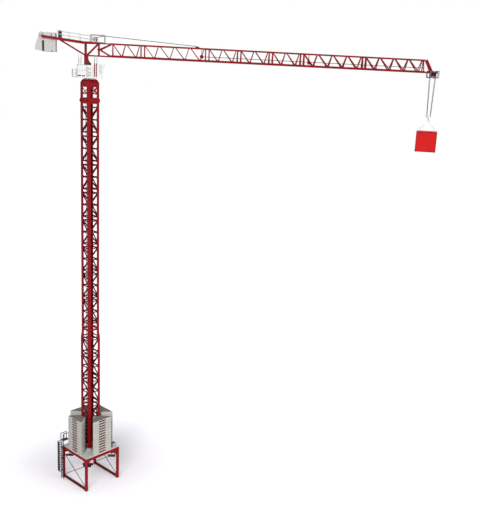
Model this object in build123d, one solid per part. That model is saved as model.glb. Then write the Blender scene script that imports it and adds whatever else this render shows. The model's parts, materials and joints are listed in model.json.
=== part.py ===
from build123d import *
import math
import os

# Scale model of a flat-top tower crane on a portal base, 1:50, in millimetres.
# The origin is on the tower axis at floor level, the portal's sides lie along
# X and Y, and +Z is up. The jib stands over one corner, turned by JIB_TURN.

# Portal base
LEG_SPACING = 132.6
LEG_SIDE = 7.5
FOOT_SIDE = 12.0
FOOT_THICK = 3.0
PORTAL_HEIGHT = 121.2
EDGE_BEAM_DEPTH = 10.0
EDGE_BEAM_WIDTH = 5.0
HAUNCH_DEPTH = 25.0
HAUNCH_SHORT = 14.0
HAUNCH_LONG_X = 34.0
HAUNCH_LONG_Y = 26.0
HAUNCH_THICK = 3.0
KNEE_BEND = 0.3
KNEE_SAG = 0.9
SILL_DEPTH = 8.0
SILL_WIDTH = 5.0
BRACE_DIAMETER = 2.0
ARM_WIDTH = 8.0
ARM_DEPTH = 9.0
CLAMP_DROP = 29.0
CLAMP_SIDE = 6.0
CLAMPS_ACROSS = ((18.0, 26.0), (31.0, 36.0))
SIDE_CLAMP_REACH = 21.0
SIDE_CLAMP_LENGTH = 26.0
CLAMP_STEM = 2.4
DECK_THICK = 2.4
DECK_SIDE = 136.0
CASE_REACH = 56.0
CASE_SIDE = 12.0
CASE_HEIGHT = 14.0

# Base ballast: one stack of blocks on each side of the mast
BLOCK_COUNT = 13
BLOCK_THICK = 9.4
BLOCK_GAP = 0.25
BLOCK_LONG = 76.0
BLOCK_SHORT = 31.0
BALLAST_OUTER = 66.0
BALLAST_INNER = 34.0

# Access ladder, cage and landing at the left corner
LADDER_X = -77.0
LADDER_Y = 61.0
LADDER_WIDTH = 14.0
LADDER_DEPTH = 2.0
LADDER_RAIL = 1.6
LADDER_PITCH = 7.5
STAY_HEIGHTS = (30.0, 75.0, 115.0)
LANDING_HEIGHT = 146.0
LANDING_THICK = 1.6
LANDING_LENGTH = 22.0
LANDING_RAIL = 26.0
CAGE_DEPTH = 14.0
CAGE_STRIP = 0.9
CAGE_BAND = 1.6
CAGE_BOTTOM = 34.0
CAGE_HOOPS = 14
CAGE_STRIP_SHARES = (-0.34, -0.17, 0.0, 0.17, 0.34)

# Mast
MAST_WIDTH = 41.4
LOWER_WIDTH = 45.6
ANGLE_FLANGE = 9.0
ANGLE_THICK = 1.2
PANEL_THICK = 1.5
PANEL_GAP = 0.1
RUNG_BAR = 2.2
DIAGONAL_BAR = 2.2
PANEL_EDGE = 2.4
SECTION_HEIGHT = 90.0
SECTION_GAP = 13.5
UPPER_SECTIONS = 8
LOWER_HEIGHT = 434.4
TAPER_TOP_DROP = 13.0
TAPER_FOOT_DROP = 31.0
UPPER_FOOT_RISE = 14.4
WALL = 1.6
SHORT_SECTION = 65.0
LOWER_SECTIONS = 4
MAST_LADDER_X = -2.0
LADDER_HALF = 5.0
LADDER_BAR = 1.2
LADDER_OFFSET = 6.0

# Mast head and slewing ring
COLLAR_RISE = 8.6
COLLAR_HEIGHT = 12.0
COLLAR_STEP = 0.9
WINDOW_RISE = 54.6
HEAD_RAIL_SHARE = 0.38
SHOULDER_RISE = 68.6
HEAD_HEIGHT = 78.1
HEAD_TOP_WIDTH = 32.0
PIN_DIAMETER = 4.0
PIN_LENGTH = 3.0
PIN_OFFSET = 15.0
RING_DIAMETER = 38.0
RING_HEIGHT = 3.2

# Slewing platform, cab and cabinets, sizes along the jib and across it
JIB_TURN = -42.5
SLEW_GAP = 0.3
PLATFORM_REAR = -37.0
PLATFORM_FRONT = 33.0
PLATFORM_NEAR = 34.0
PLATFORM_FAR = 21.0
PLATFORM_THICK = 4.0
CABINET_REAR = -35.0
CABINET_FRONT = -7.0
CABINET_OUTER = 33.0
CABINET_INNER = 14.5
CABINET_HEIGHT = 35.0
STEP_PANEL_FRONT = 13.5
CAB_REAR = 25.5
CAB_FRONT = 40.0
CAB_LEAN = 7.0
CAB_HEIGHT = 39.0
CAB_OUTER = 34.0
CAB_INNER = 14.5
CAB_WALL = 1.2
CAB_SILL = 10.0
PANE_GAP = 0.2
WALKWAY_REAR = -51.0
WALKWAY_RAIL = 21.0
RAIL_BAR = 1.4

# Tower head
COLUMN_REAR = -15.8
COLUMN_FRONT = -5.2
PLATE_THICK = 2.4
ROOT_POST_REAR = -14.8
JIB_RISE = 63.4
JIB_HEIGHT = 37.6
CHORD = 3.6
POST_WIDTH = 5.2
GUSSET_RISE = 37.0
GUSSET_REACH = 8.0
HUB_REACH = 28.0
HUB_DIAMETER = 8.0
ROOT_REACH = 65.0
COUNTER_RISE = 0.1
COUNTER_END = 142.0
COUNTER_HALF = 17.0
COUNTER_BEAM_WIDTH = 4.0
COUNTER_BEAM_DEPTH = 7.0
COUNTER_CROSSES = (21.5, 60.0, 98.0)
WELD_DEPTH = 0.2
STRUT_REACH = 92.0
STRUT_BAR = 4.0
DECK_END = 96.0
GRATING_THICK = 1.4
RAIL_POSTS = (97.0, 62.5, 29.7, -5.6)
WALKWAY_START = -18.8
WALKWAY_END = 8.0
WALKWAY_SLIT = 11.5
WALKWAY_HALF = 18.0
RAIL_HEIGHT = 20.0
ROOT_LADDER_X = 19.6
COUNTER_LADDER_X = -28.0
HEAD_LADDER_HALF = 4.1
LADDER_FRAME_BAR = 2.2
LADDER_FRAME_HEIGHT = 42.0
HEAD_LADDER_PITCH = 6.0
WEIGHT_REAR = 163.0
WEIGHT_THICK = (23.0, 22.0, 9.0)
WEIGHT_GAP = 4.0
WEIGHT_LEAN = 15.0
WEIGHT_FOOT_RISE = 5.0
WEIGHT_SHOULDER = 42.0
WEIGHT_DROP = 32.0
WEIGHT_RISE = 24.0
WEIGHT_HALF = 14.0
EAR_HALF = 20.0
CONTROL_REACH = 89.0
CONTROL_DEPTH = 8.0
CONTROL_HALF = 11.0
CONTROL_HEIGHT = 21.0

# Hoist winch
WINCH_REAR = 2.0
WINCH_LENGTH = 45.0
WINCH_HEIGHT = 21.2
ROLLER_DIAMETER = 2.4
DRUM_REACH = 17.0
DRUM_DIAMETER = 13.0
DRUM_LIFT = 3.0
FLANGE_STEP = 1.5
AXLE_DIAMETER = 4.0
AXLE_GAP = 0.05
ROPE_DIAMETER = 0.8

# Jib
JIB_JOINTS = (162.4, 362.4, 462.4, 562.4, 662.4, 862.4, 1062.4)
CHORD_HALF = 10.0
POST_INSET = 5.5
POST_BAR = 3.0
LACING_BAR = 2.4
LACING_THICK = 1.6
BAY = 47.5
FOOT_SHARE = 0.65
TOP_SHARE = 0.9
ROOT_BAR = 2.6
LEDGE_WIDTH = 3.0
LEDGE_THICK = 1.2
LEDGE_START = 120.0
NOSE_HALF = 5.0
NOSE_LENGTH = 26.6
TIP_LENGTH = 44.6
PULLEY_REACH = 331.0
PULLEY_DIAMETER = 12.0
WHEEL_REACH = 345.0
WHEEL_RISE = 13.6
GUIDE_REACH = 684.0
GUIDE_LENGTH = 8.0
GUIDE_HEIGHT = 14.0
HANGER_HALF = 1.0

# Trolley, hook and load
TROLLEY_INSET = 15.0
TROLLEY_LENGTH = 31.0
TROLLEY_HALF = 18.0
TROLLEY_DROP = 16.4
WHEEL_DIAMETER = 7.0
WHEEL_WIDTH = 2.4
RUN_GAP = 0.3
SHEAVE_HALF = 4.0
SHEAVE_DIAMETER = 8.0
FALL_CLOSE = 0.6
HOOK_HALF = 8.0
HOOK_CHEEK = 3.4
HOOK_BOWL = 7.0
HOOK_BAR = 2.2
SLING_INSET = 4.0
FALL_DIAMETER = 0.8
FALL_TOP_HALF = 9.0
FALL_LOW_HALF = 6.0
SHEAVE_REACH = 5.0
FALL_LENGTH = 116.0
BLOCK_HEIGHT = 12.0
HOOK_DROP = 10.0
SLING_DIAMETER = 0.9
LOAD_SIDE = 66.0
SLING_DROP = 31.0
LOAD_WALL = 1.2
LOAD_TURN = -19.3

half_spacing = LEG_SPACING / 2
mast_foot = PORTAL_HEIGHT + DECK_THICK
rail_top = LANDING_HEIGHT + LANDING_RAIL
lower_top = mast_foot + LOWER_HEIGHT
taper_top = lower_top - TAPER_TOP_DROP
taper_bottom = lower_top - TAPER_FOOT_DROP
upper_foot = lower_top + UPPER_FOOT_RISE
mast_top = upper_foot + SECTION_HEIGHT * UPPER_SECTIONS
collar_bottom = mast_top + COLLAR_RISE
collar_top = collar_bottom + COLLAR_HEIGHT
window_top = mast_top + WINDOW_RISE
shoulder_height = mast_top + SHOULDER_RISE
head_top = mast_top + HEAD_HEIGHT
platform_low = head_top + RING_HEIGHT + SLEW_GAP
platform_top = platform_low + PLATFORM_THICK
cabinet_top = platform_top + CABINET_HEIGHT
cab_top = platform_top + CAB_HEIGHT
gusset_low = platform_top + GUSSET_RISE
jib_bottom = platform_top + JIB_RISE
jib_top = jib_bottom + JIB_HEIGHT
hub_height = jib_bottom + JIB_HEIGHT / 2
weight_low = jib_top - WEIGHT_DROP
weight_high = jib_top + WEIGHT_RISE
winch_foot = jib_top + CHORD / 2
walkway_top = winch_foot + GRATING_THICK
winch_front = WINCH_REAR + WINCH_LENGTH
winch_top = winch_foot + WINCH_HEIGHT
drum_height = winch_foot + DRUM_DIAMETER / 2 + DRUM_LIFT
pulley_height = jib_bottom + WHEEL_RISE
nose_end = JIB_JOINTS[-1] + NOSE_LENGTH
tip_end = JIB_JOINTS[-1] + TIP_LENGTH
wheel_axis = jib_bottom - CHORD / 2 + LEDGE_THICK + RUN_GAP + WHEEL_DIAMETER / 2
trolley_reach = tip_end - TROLLEY_INSET
trolley_bottom = jib_bottom - TROLLEY_DROP
block_top = trolley_bottom - FALL_LENGTH
block_low = block_top - BLOCK_HEIGHT
sling_top = block_low - HOOK_DROP
load_top = sling_top - SLING_DROP


def block(x0, x1, y0, y1, z0, z1):
    centre = Pos((x0 + x1) / 2, (y0 + y1) / 2, (z0 + z1) / 2)
    return centre * Box(abs(x1 - x0), abs(y1 - y0), abs(z1 - z0))


def bar(start, end, width, depth, facing=(0, 0, 1)):
    start = Vector(*start)
    end = Vector(*end)
    plane = Plane(origin=start, x_dir=facing, z_dir=end - start)
    return extrude(plane * Rectangle(depth, width), amount=(end - start).length)


def rod(start, end, diameter, sides=8):
    start = Vector(*start)
    end = Vector(*end)
    plane = Plane(origin=start, z_dir=end - start)
    return extrude(plane * RegularPolygon(diameter / 2, sides), amount=(end - start).length)


def strip(start, end, width):
    run = end[0] - start[0]
    rise = end[1] - start[1]
    middle = Pos((start[0] + end[0]) / 2, (start[1] + end[1]) / 2)
    return middle * Rot(0, 0, math.degrees(math.atan2(rise, run))) * Rectangle(math.hypot(run, rise), width)


def panel(strips, outline):
    """Bars drawn flat, fused where they cross and trimmed to the outline."""
    lattice = Sketch() + strips
    return lattice & outline


def around(shape, count=4):
    return [Rot(0, 0, 360 / count * step) * shape for step in range(count)]


def upper(shape):
    return Rot(0, 0, JIB_TURN) * shape


def save(name, pieces):
    if not isinstance(pieces, (list, tuple)):
        pieces = [pieces]
    solids = [solid for piece in pieces for solid in piece.solids()]
    os.makedirs("parts", exist_ok=True)
    export_step(solids[0] if len(solids) == 1 else Compound(solids), f"parts/{name}.step")


def mast_half(z):
    """Half the mast's outer width at a height."""
    if z <= taper_bottom:
        return LOWER_WIDTH / 2
    if z >= taper_top:
        return MAST_WIDTH / 2
    share = (z - taper_bottom) / (taper_top - taper_bottom)
    return (LOWER_WIDTH + share * (MAST_WIDTH - LOWER_WIDTH)) / 2


# Portal

def haunch(corner_x, corner_y, along_x, length):
    """A knee plate under an edge beam, with a curved edge, beside one leg."""
    top = PORTAL_HEIGHT - EDGE_BEAM_DEPTH
    depth = HAUNCH_DEPTH - EDGE_BEAM_DEPTH
    root = EDGE_BEAM_DEPTH / 2
    bend = (length * KNEE_BEND, -depth * (1 - KNEE_BEND) * KNEE_SAG)
    edge = Polyline((length, 0), (length, root), (0, root), (0, -depth))
    face = make_face([edge, ThreePointArc((0, -depth), bend, (length, 0))])
    sign = -math.copysign(1, corner_x if along_x else corner_y)
    start = half_spacing - LEG_SIDE / 2
    if along_x:
        plane = Plane(origin=(-sign * start, corner_y, top), x_dir=(sign, 0, 0), z_dir=(0, -sign, 0))
    else:
        plane = Plane(origin=(corner_x, -sign * start, top), x_dir=(0, sign, 0), z_dir=(sign, 0, 0))
    return extrude(plane * face, amount=HAUNCH_THICK / 2, both=True)


def portal_corners():
    return [(x, y) for x in (-half_spacing, half_spacing) for y in (-half_spacing, half_spacing)]


def foot_pads():
    half = FOOT_SIDE / 2
    return [block(x - half, x + half, y - half, y + half, 0, FOOT_THICK) for x, y in portal_corners()]


def portal_legs():
    half = LEG_SIDE / 2
    legs = []
    for x, y in portal_corners():
        legs.append(block(x - half, x + half, y - half, y + half, FOOT_THICK, PORTAL_HEIGHT))
    return legs


def portal_sills():
    end = half_spacing - LEG_SIDE / 2
    sills = []
    for x in (-half_spacing, half_spacing):
        sills.append(block(x - SILL_WIDTH / 2, x + SILL_WIDTH / 2, -end, end,
                           FOOT_THICK, FOOT_THICK + SILL_DEPTH))
    return sills


def portal_braces():
    """One crossed pair of thin ties in each side that has a sill."""
    end = half_spacing - LEG_SIDE / 2
    low = FOOT_THICK + SILL_DEPTH + BRACE_DIAMETER
    high = PORTAL_HEIGHT - HAUNCH_DEPTH - BRACE_DIAMETER
    braces = []
    for x in (-half_spacing, half_spacing):
        first = rod((x, -end, low), (x, end, high), BRACE_DIAMETER, 6)
        second = rod((x, -end, high), (x, end, low), BRACE_DIAMETER, 6)
        trim = block(x - BRACE_DIAMETER, x + BRACE_DIAMETER, -end, end, 0, PORTAL_HEIGHT)
        braces.append((first + second) & trim)
    return braces


def portal_beams():
    end = half_spacing - LEG_SIDE / 2
    width = EDGE_BEAM_WIDTH / 2
    low = PORTAL_HEIGHT - EDGE_BEAM_DEPTH
    beams = []
    for side in (-1, 1):
        y = side * half_spacing
        near = HAUNCH_SHORT if side < 0 else HAUNCH_LONG_X
        far = HAUNCH_LONG_X if side < 0 else HAUNCH_SHORT
        beam = block(-end, end, y - width, y + width, low, PORTAL_HEIGHT)
        beams.append(beam + haunch(-half_spacing, y, True, near) + haunch(half_spacing, y, True, far))
    for side in (-1, 1):
        x = side * half_spacing
        near = HAUNCH_SHORT if side < 0 else HAUNCH_LONG_Y
        far = HAUNCH_LONG_Y if side < 0 else HAUNCH_SHORT
        beam = block(x - width, x + width, -end, end, low, PORTAL_HEIGHT)
        beams.append(beam + haunch(x, -half_spacing, False, near) + haunch(x, half_spacing, False, far))
    return beams


def cross_arms():
    """Two beams from corner to corner under the deck, fused where they cross."""
    reach = (half_spacing - LEG_SIDE) * math.sqrt(2)
    beam = block(-reach, reach, -ARM_WIDTH / 2, ARM_WIDTH / 2, PORTAL_HEIGHT - ARM_DEPTH, PORTAL_HEIGHT)
    inside = half_spacing - EDGE_BEAM_WIDTH / 2
    corner = half_spacing - LEG_SIDE / 2
    arms = Rot(0, 0, 45) * beam + Rot(0, 0, -45) * beam
    room = block(-inside, inside, -inside, inside, 0, PORTAL_HEIGHT)
    for x, y in portal_corners():
        side = LEG_SIDE / 2
        room -= block(x - side, x + side, y - side, y + side, 0, PORTAL_HEIGHT)
    return arms & room


def corner_clamps():
    """Dark clamp bars that hang from the cross arms near the corners, two across
    the arm at the front and back corners and one along it at the others."""
    top = PORTAL_HEIGHT - ARM_DEPTH
    low = top - CLAMP_DROP
    high = low + CLAMP_SIDE
    corner_reach = half_spacing * math.sqrt(2)
    half = CLAMP_SIDE / 2
    stem = CLAMP_STEM / 2
    across = Part()
    for inset, length in CLAMPS_ACROSS:
        reach = corner_reach - inset
        across += block(reach - half, reach + half, -length / 2, length / 2, low, high)
        across += block(reach - stem, reach + stem, -stem, stem, high, top)
    reach = corner_reach - SIDE_CLAMP_REACH
    along = block(reach - SIDE_CLAMP_LENGTH / 2, reach + SIDE_CLAMP_LENGTH / 2, -half, half, low, high)
    along += block(reach - stem, reach + stem, -stem, stem, high, top)
    clamps = []
    for turn in (45, 225):
        clamps.append(Rot(0, 0, turn) * across)
        clamps.append(Rot(0, 0, turn + 90) * along)
    return clamps


def deck():
    """The plate on the portal that carries the ballast and the mast's foot."""
    half = DECK_SIDE / 2
    return block(-half, half, -half, half, PORTAL_HEIGHT, mast_foot)


def deck_case():
    """A closed case on the deck, in the right corner."""
    half = CASE_SIDE / 2
    return block(CASE_REACH - half, CASE_REACH + half, -CASE_REACH - half, -CASE_REACH + half,
                 mast_foot, mast_foot + CASE_HEIGHT)


# Ballast

def ballast_stack(turn):
    outline = Polygon(
        (-BLOCK_LONG / 2, -BALLAST_OUTER), (BLOCK_LONG / 2, -BALLAST_OUTER),
        (BLOCK_SHORT / 2, -BALLAST_INNER), (-BLOCK_SHORT / 2, -BALLAST_INNER), align=None)
    blocks = []
    for level in range(BLOCK_COUNT):
        low = mast_foot + level * BLOCK_THICK
        slab = extrude(outline, amount=BLOCK_THICK - BLOCK_GAP)
        blocks.append(Rot(0, 0, turn) * Pos(0, 0, low) * slab)
    return blocks


# Access ladder and its cage, outside the left corner of the portal

def access_ladder():
    """Rails and rungs, stayed to the leg, with a landing and its rail on top."""
    y0 = LADDER_Y - LADDER_WIDTH / 2
    y1 = LADDER_Y + LADDER_WIDTH / 2
    x0 = LADDER_X
    x1 = LADDER_X + LADDER_DEPTH
    half = LADDER_RAIL / 2
    pieces = [block(x0, x1, y - half, y + half, 0, rail_top) for y in (y0, y1)]
    for step in range(1, int(LANDING_HEIGHT / LADDER_PITCH)):
        z = step * LADDER_PITCH
        pieces.append(block(x0 + half / 2, x1 - half / 2, y0, y1, z - half, z + half))
    leg_face = -half_spacing - LEG_SIDE / 2
    for z in STAY_HEIGHTS:
        pieces.append(block(x1 - half, leg_face, y1 - LADDER_RAIL, y1 + half, z - half, z + half))
    landing_end = x1 + LANDING_LENGTH
    pieces.append(block(x0, landing_end, y0 - half, y1 + half,
                        LANDING_HEIGHT, LANDING_HEIGHT + LANDING_THICK))
    for x in (landing_end - LADDER_RAIL, x1 + LANDING_LENGTH / 2):
        for y in (y0, y1):
            pieces.append(block(x, x + LADDER_RAIL, y - half, y + half, LANDING_HEIGHT, rail_top))
    for y in (y0, y1):
        pieces.append(block(x0, landing_end, y - half, y + half, rail_top - LADDER_RAIL, rail_top))
    foot = landing_end - LADDER_RAIL
    pieces.append(block(foot, foot + LADDER_RAIL, y0 - half, y0 + half, mast_foot, LANDING_HEIGHT))
    return Part() + pieces


def ladder_cage():
    """Flat hoops round the climbing side, joined by upright strips."""
    width = LADDER_WIDTH + LADDER_RAIL
    centre = LADDER_X - CAGE_DEPTH / 2
    outer = Pos(centre, LADDER_Y) * Rectangle(CAGE_DEPTH, width)
    outer = fillet(outer.vertices().sort_by(Axis.X)[:2], CAGE_DEPTH / 2 - CAGE_STRIP)
    inner = Pos(CAGE_STRIP, 0) * offset(outer, -CAGE_STRIP)
    inner += Pos(LADDER_X - CAGE_STRIP, LADDER_Y) * Rectangle(4 * CAGE_STRIP, width - 2 * CAGE_STRIP)
    hoop = outer - inner
    pieces = []
    spacing = (LANDING_HEIGHT - CAGE_BOTTOM - CAGE_BAND) / (CAGE_HOOPS - 1)
    for level in range(CAGE_HOOPS):
        pieces.append(Pos(0, 0, CAGE_BOTTOM + level * spacing) * extrude(hoop, amount=CAGE_BAND))
    left = LADDER_X - CAGE_DEPTH
    for share in CAGE_STRIP_SHARES:
        y = LADDER_Y + share * width
        pieces.append(block(left, left + CAGE_STRIP, y - CAGE_STRIP, y + CAGE_STRIP,
                            CAGE_BOTTOM, LANDING_HEIGHT))
    return Part() + pieces


# Mast

def mast_legs(low, high):
    """Four angles, one at each corner."""
    half = mast_half(low)
    inner = half - ANGLE_THICK
    end = half - ANGLE_FLANGE
    angle = Polygon((-half, -half), (-end, -half), (-end, -inner), (-inner, -inner), (-inner, -end),
                    (-half, -end), align=None)
    return around(Pos(0, 0, low) * extrude(angle, amount=high - low))


def section_strips(low, high, reach, gap):
    """The horizontals and diagonals of one mast section, drawn flat."""
    top = high - gap / 2
    bottom = low + gap / 2
    middle = (low + high) / 2
    strips = [strip((-reach, z), (reach, z), RUNG_BAR) for z in (bottom, top)]
    if high - low > SHORT_SECTION:
        strips.append(strip((-reach, middle), (reach, middle), RUNG_BAR))
        strips.append(strip((reach, top), (-reach, middle), DIAGONAL_BAR))
        strips.append(strip((-reach, middle), (reach, bottom), DIAGONAL_BAR))
    else:
        strips.append(strip((reach, top), (-reach, bottom), DIAGONAL_BAR))
    return strips


def mast_panel(sections, half):
    """One flat lattice between two legs, inside their flanges."""
    reach = half - ANGLE_THICK - PANEL_THICK - PANEL_GAP
    low = sections[0][0]
    high = sections[-1][1]
    edge = reach - PANEL_EDGE / 2
    strips = [strip((side * edge, low), (side * edge, high), PANEL_EDGE) for side in (-1, 1)]
    for bottom, top in sections:
        strips += section_strips(bottom, top, reach, SECTION_GAP)
    outline = Pos(0, (low + high) / 2) * Rectangle(2 * reach, high - low)
    return panel(strips, outline)


def mast_sections():
    upper_joints = [upper_foot + SECTION_HEIGHT * count for count in range(UPPER_SECTIONS + 1)]
    lower_joints = [lower_top - SECTION_HEIGHT * count for count in range(LOWER_SECTIONS, 0, -1)]
    lower_joints = [mast_foot] + lower_joints + [taper_bottom]
    return list(zip(lower_joints, lower_joints[1:])), list(zip(upper_joints, upper_joints[1:]))


def mast_sides():
    """Front, right, back and left lattices. The diagonals meet the front-left
    and back-right legs at the middle of each section."""
    lower_sections, upper_sections = mast_sections()
    sides = {"front": [], "right": [], "back": [], "left": []}
    for sections, width in ((lower_sections, LOWER_WIDTH), (upper_sections, MAST_WIDTH)):
        drawn = mast_panel(sections, width / 2)
        outside = width / 2 - ANGLE_THICK
        front_plane = Plane(origin=(0, -outside + PANEL_THICK, 0), x_dir=(1, 0, 0), z_dir=(0, -1, 0))
        left_plane = Plane(origin=(-outside, 0, 0), x_dir=(0, 1, 0), z_dir=(1, 0, 0))
        front = extrude(front_plane * drawn, amount=PANEL_THICK)
        left = extrude(left_plane * drawn, amount=PANEL_THICK)
        sides["front"].append(front)
        sides["left"].append(left)
        sides["back"].append(Rot(0, 0, 180) * front)
        sides["right"].append(Rot(0, 0, 180) * left)
    return sides


def square_tube(levels, wall):
    """A hollow square shaft through (height, width) levels, open at both ends."""
    outer = Part()
    inner = Part()
    for (low, low_width), (high, high_width) in zip(levels, levels[1:]):
        outer += loft([Pos(0, 0, low) * Rectangle(low_width, low_width),
                       Pos(0, 0, high) * Rectangle(high_width, high_width)])
        inner += loft([Pos(0, 0, low) * Rectangle(low_width - 2 * wall, low_width - 2 * wall),
                       Pos(0, 0, high) * Rectangle(high_width - 2 * wall, high_width - 2 * wall)])
    return outer - inner


def cut_windows(shaft, drawn):
    """Cuts the drawn openings through all four sides."""
    front = extrude(Plane.XZ * drawn, amount=LOWER_WIDTH, both=True)
    side = extrude(Plane.YZ * drawn, amount=LOWER_WIDTH, both=True)
    return shaft - front - side


def mast_transition():
    """The short piece that steps the mast in, with an opening in each side."""
    levels = [(taper_bottom, LOWER_WIDTH), (taper_top, MAST_WIDTH), (upper_foot, MAST_WIDTH)]
    shaft = square_tube(levels, WALL)
    width = MAST_WIDTH - 2 * ANGLE_FLANGE
    low = taper_bottom + 2 * RUNG_BAR
    high = lower_top - 2 * RUNG_BAR
    drawn = Pos(0, (low + high) / 2) * Rectangle(width, high - low)
    slot_low = lower_top + RUNG_BAR
    slot_high = upper_foot - RUNG_BAR
    drawn += Pos(0, (slot_low + slot_high) / 2) * Rectangle(width, slot_high - slot_low)
    return cut_windows(shaft, drawn)


def mast_head():
    """A plated head with braced windows, a collar, side pins and a top plate."""
    levels = [(mast_top, MAST_WIDTH), (shoulder_height, MAST_WIDTH), (head_top, HEAD_TOP_WIDTH)]
    shaft = square_tube(levels, WALL)
    collar_width = MAST_WIDTH + 2 * COLLAR_STEP
    collar = Pos(0, 0, collar_bottom) * extrude(Rectangle(collar_width, collar_width),
                                                amount=collar_top - collar_bottom)
    inside = MAST_WIDTH - 2 * WALL
    collar -= Pos(0, 0, collar_bottom) * extrude(Rectangle(inside, inside), amount=collar_top - collar_bottom)
    lid_width = HEAD_TOP_WIDTH - WALL
    top = Pos(0, 0, head_top - WALL) * extrude(Rectangle(lid_width, lid_width), amount=WALL)
    half = MAST_WIDTH / 2 - ANGLE_FLANGE
    low = collar_top + RUNG_BAR
    middle = low + (window_top - low) * HEAD_RAIL_SHARE
    drawn = Pos(0, (low + window_top) / 2) * Rectangle(2 * half, window_top - low)
    drawn -= strip((-half, middle), (half, middle), RUNG_BAR)
    drawn -= strip((half, window_top), (-half, middle), DIAGONAL_BAR)
    slot_high = collar_bottom - 2 * RUNG_BAR
    drawn += Pos(0, (mast_top + slot_high) / 2) * Rectangle(2 * half, slot_high - mast_top)
    head = cut_windows(shaft + collar, drawn) + top
    z = (collar_bottom + collar_top) / 2
    for side in (-1, 1):
        for y in (-PIN_OFFSET, PIN_OFFSET):
            face = side * (collar_width / 2 - COLLAR_STEP)
            head += rod((face, y, z), (face + side * (PIN_LENGTH + COLLAR_STEP), y, z), PIN_DIAMETER)
    return head


def mast_ladder():
    """The climbing ladder's rails inside the mast, stayed to the back lattice."""
    rail = LADDER_BAR / 2
    y = MAST_WIDTH / 2 - ANGLE_THICK - PANEL_THICK - LADDER_OFFSET
    pieces = []
    for side in (-1, 1):
        x = MAST_LADDER_X + side * LADDER_HALF
        pieces.append(block(x - rail, x + rail, y - rail, y + rail, mast_foot, mast_top))
    lower_sections, upper_sections = mast_sections()
    for sections, width in ((lower_sections, LOWER_WIDTH), (upper_sections, MAST_WIDTH)):
        wall = width / 2 - ANGLE_THICK - PANEL_THICK
        for low, high in sections:
            z = low + SECTION_GAP / 2
            x0 = MAST_LADDER_X - LADDER_HALF
            x1 = MAST_LADDER_X + LADDER_HALF
            pieces.append(block(x0, x1, y - rail, y + rail, z - rail, z + rail))
            for x in (x0, x1):
                pieces.append(block(x - rail, x + rail, y, wall, z - rail, z + rail))
    return Part() + pieces


def slewing_ring():
    return Pos(0, 0, head_top) * extrude(Circle(RING_DIAMETER / 2), amount=RING_HEIGHT)


# Slewing platform and what stands on it. The near side of the jib is -Y here.

def slewing_platform():
    plate = block(PLATFORM_REAR, PLATFORM_FRONT, -PLATFORM_NEAR, PLATFORM_FAR, platform_low, platform_top)
    corners = plate.edges().filter_by(Axis.Z)
    plate = chamfer(corners, PLATFORM_THICK)
    rest = block(PLATFORM_FRONT - PLATFORM_THICK, CAB_FRONT, -PLATFORM_NEAR, -CAB_INNER,
                 platform_low, platform_top)
    return plate + rest


def tower_head():
    """Two matching side frames, joined by cross beams: a rear column, a root
    post, braces and the hub that the jib's root hangs on."""
    plate = PLATE_THICK
    low_beam = jib_bottom - CHORD / 2
    top_beam = jib_top - CHORD / 2
    head = Part()
    for side in (-1, 1):
        y = side * CHORD_HALF
        y0 = y - plate / 2
        y1 = y + plate / 2
        parts = [
            block(COLUMN_REAR, COLUMN_FRONT, y0, y1, platform_top, jib_bottom + CHORD),
            block(ROOT_POST_REAR, ROOT_POST_REAR + POST_WIDTH, y0, y1, jib_bottom, top_beam),
            block(COLUMN_REAR - CHORD, HUB_REACH + CHORD / 2, y0, y1, top_beam, jib_top + CHORD / 2),
            block(COLUMN_FRONT, HUB_REACH + CHORD / 2, y0, y1, low_beam, jib_bottom + CHORD / 2),
            block(HUB_REACH - CHORD / 2, HUB_REACH + CHORD / 2, y0, y1, low_beam, jib_top),
            bar((COLUMN_FRONT - CHORD, y, jib_bottom), (HUB_REACH - CHORD, y, jib_top - CHORD), plate, CHORD),
        ]
        gusset = Polygon((COLUMN_FRONT, gusset_low), (COLUMN_FRONT + GUSSET_REACH, gusset_low),
                         (COLUMN_FRONT, gusset_low + 2 * GUSSET_REACH), align=None)
        gusset_plane = Plane(origin=(0, y1, 0), x_dir=(1, 0, 0), z_dir=(0, -1, 0))
        parts.append(extrude(gusset_plane * gusset, amount=plate))
        head += parts
    inner = CHORD_HALF - plate / 2
    cross = [
        block(COLUMN_REAR, COLUMN_FRONT, -inner, inner, jib_bottom - CHORD, jib_bottom + CHORD),
        block(COLUMN_REAR, COLUMN_REAR + plate, -inner, inner, platform_top, jib_bottom - CHORD),
        block(COLUMN_REAR - CHORD, COLUMN_REAR, -inner, inner, top_beam, jib_top + CHORD / 2),
        block(HUB_REACH - CHORD / 2, HUB_REACH + CHORD / 2, -inner, inner, top_beam, jib_top + CHORD / 2),
        block(HUB_REACH - CHORD / 2, HUB_REACH + CHORD / 2, -inner, inner, low_beam, jib_bottom + CHORD / 2),
        rod((HUB_REACH, -inner - plate, hub_height), (HUB_REACH, inner + plate, hub_height),
            HUB_DIAMETER, 12),
    ]
    return head + cross


def switch_cabinet():
    return block(CABINET_REAR, CABINET_FRONT, -CABINET_OUTER, -CABINET_INNER, platform_top, cabinet_top)


def cab_outline(inset):
    """The cab's side outline: a slanted front that leans out at the top."""
    low = platform_top + inset
    high = cab_top - inset
    return Polygon((CAB_REAR + inset, low), (CAB_FRONT - inset, low), (CAB_FRONT + CAB_LEAN - inset, high),
                   (CAB_REAR + inset, high), align=None)


def cab_plane(y):
    return Plane(origin=(0, y, 0), x_dir=(1, 0, 0), z_dir=(0, -1, 0))


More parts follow.
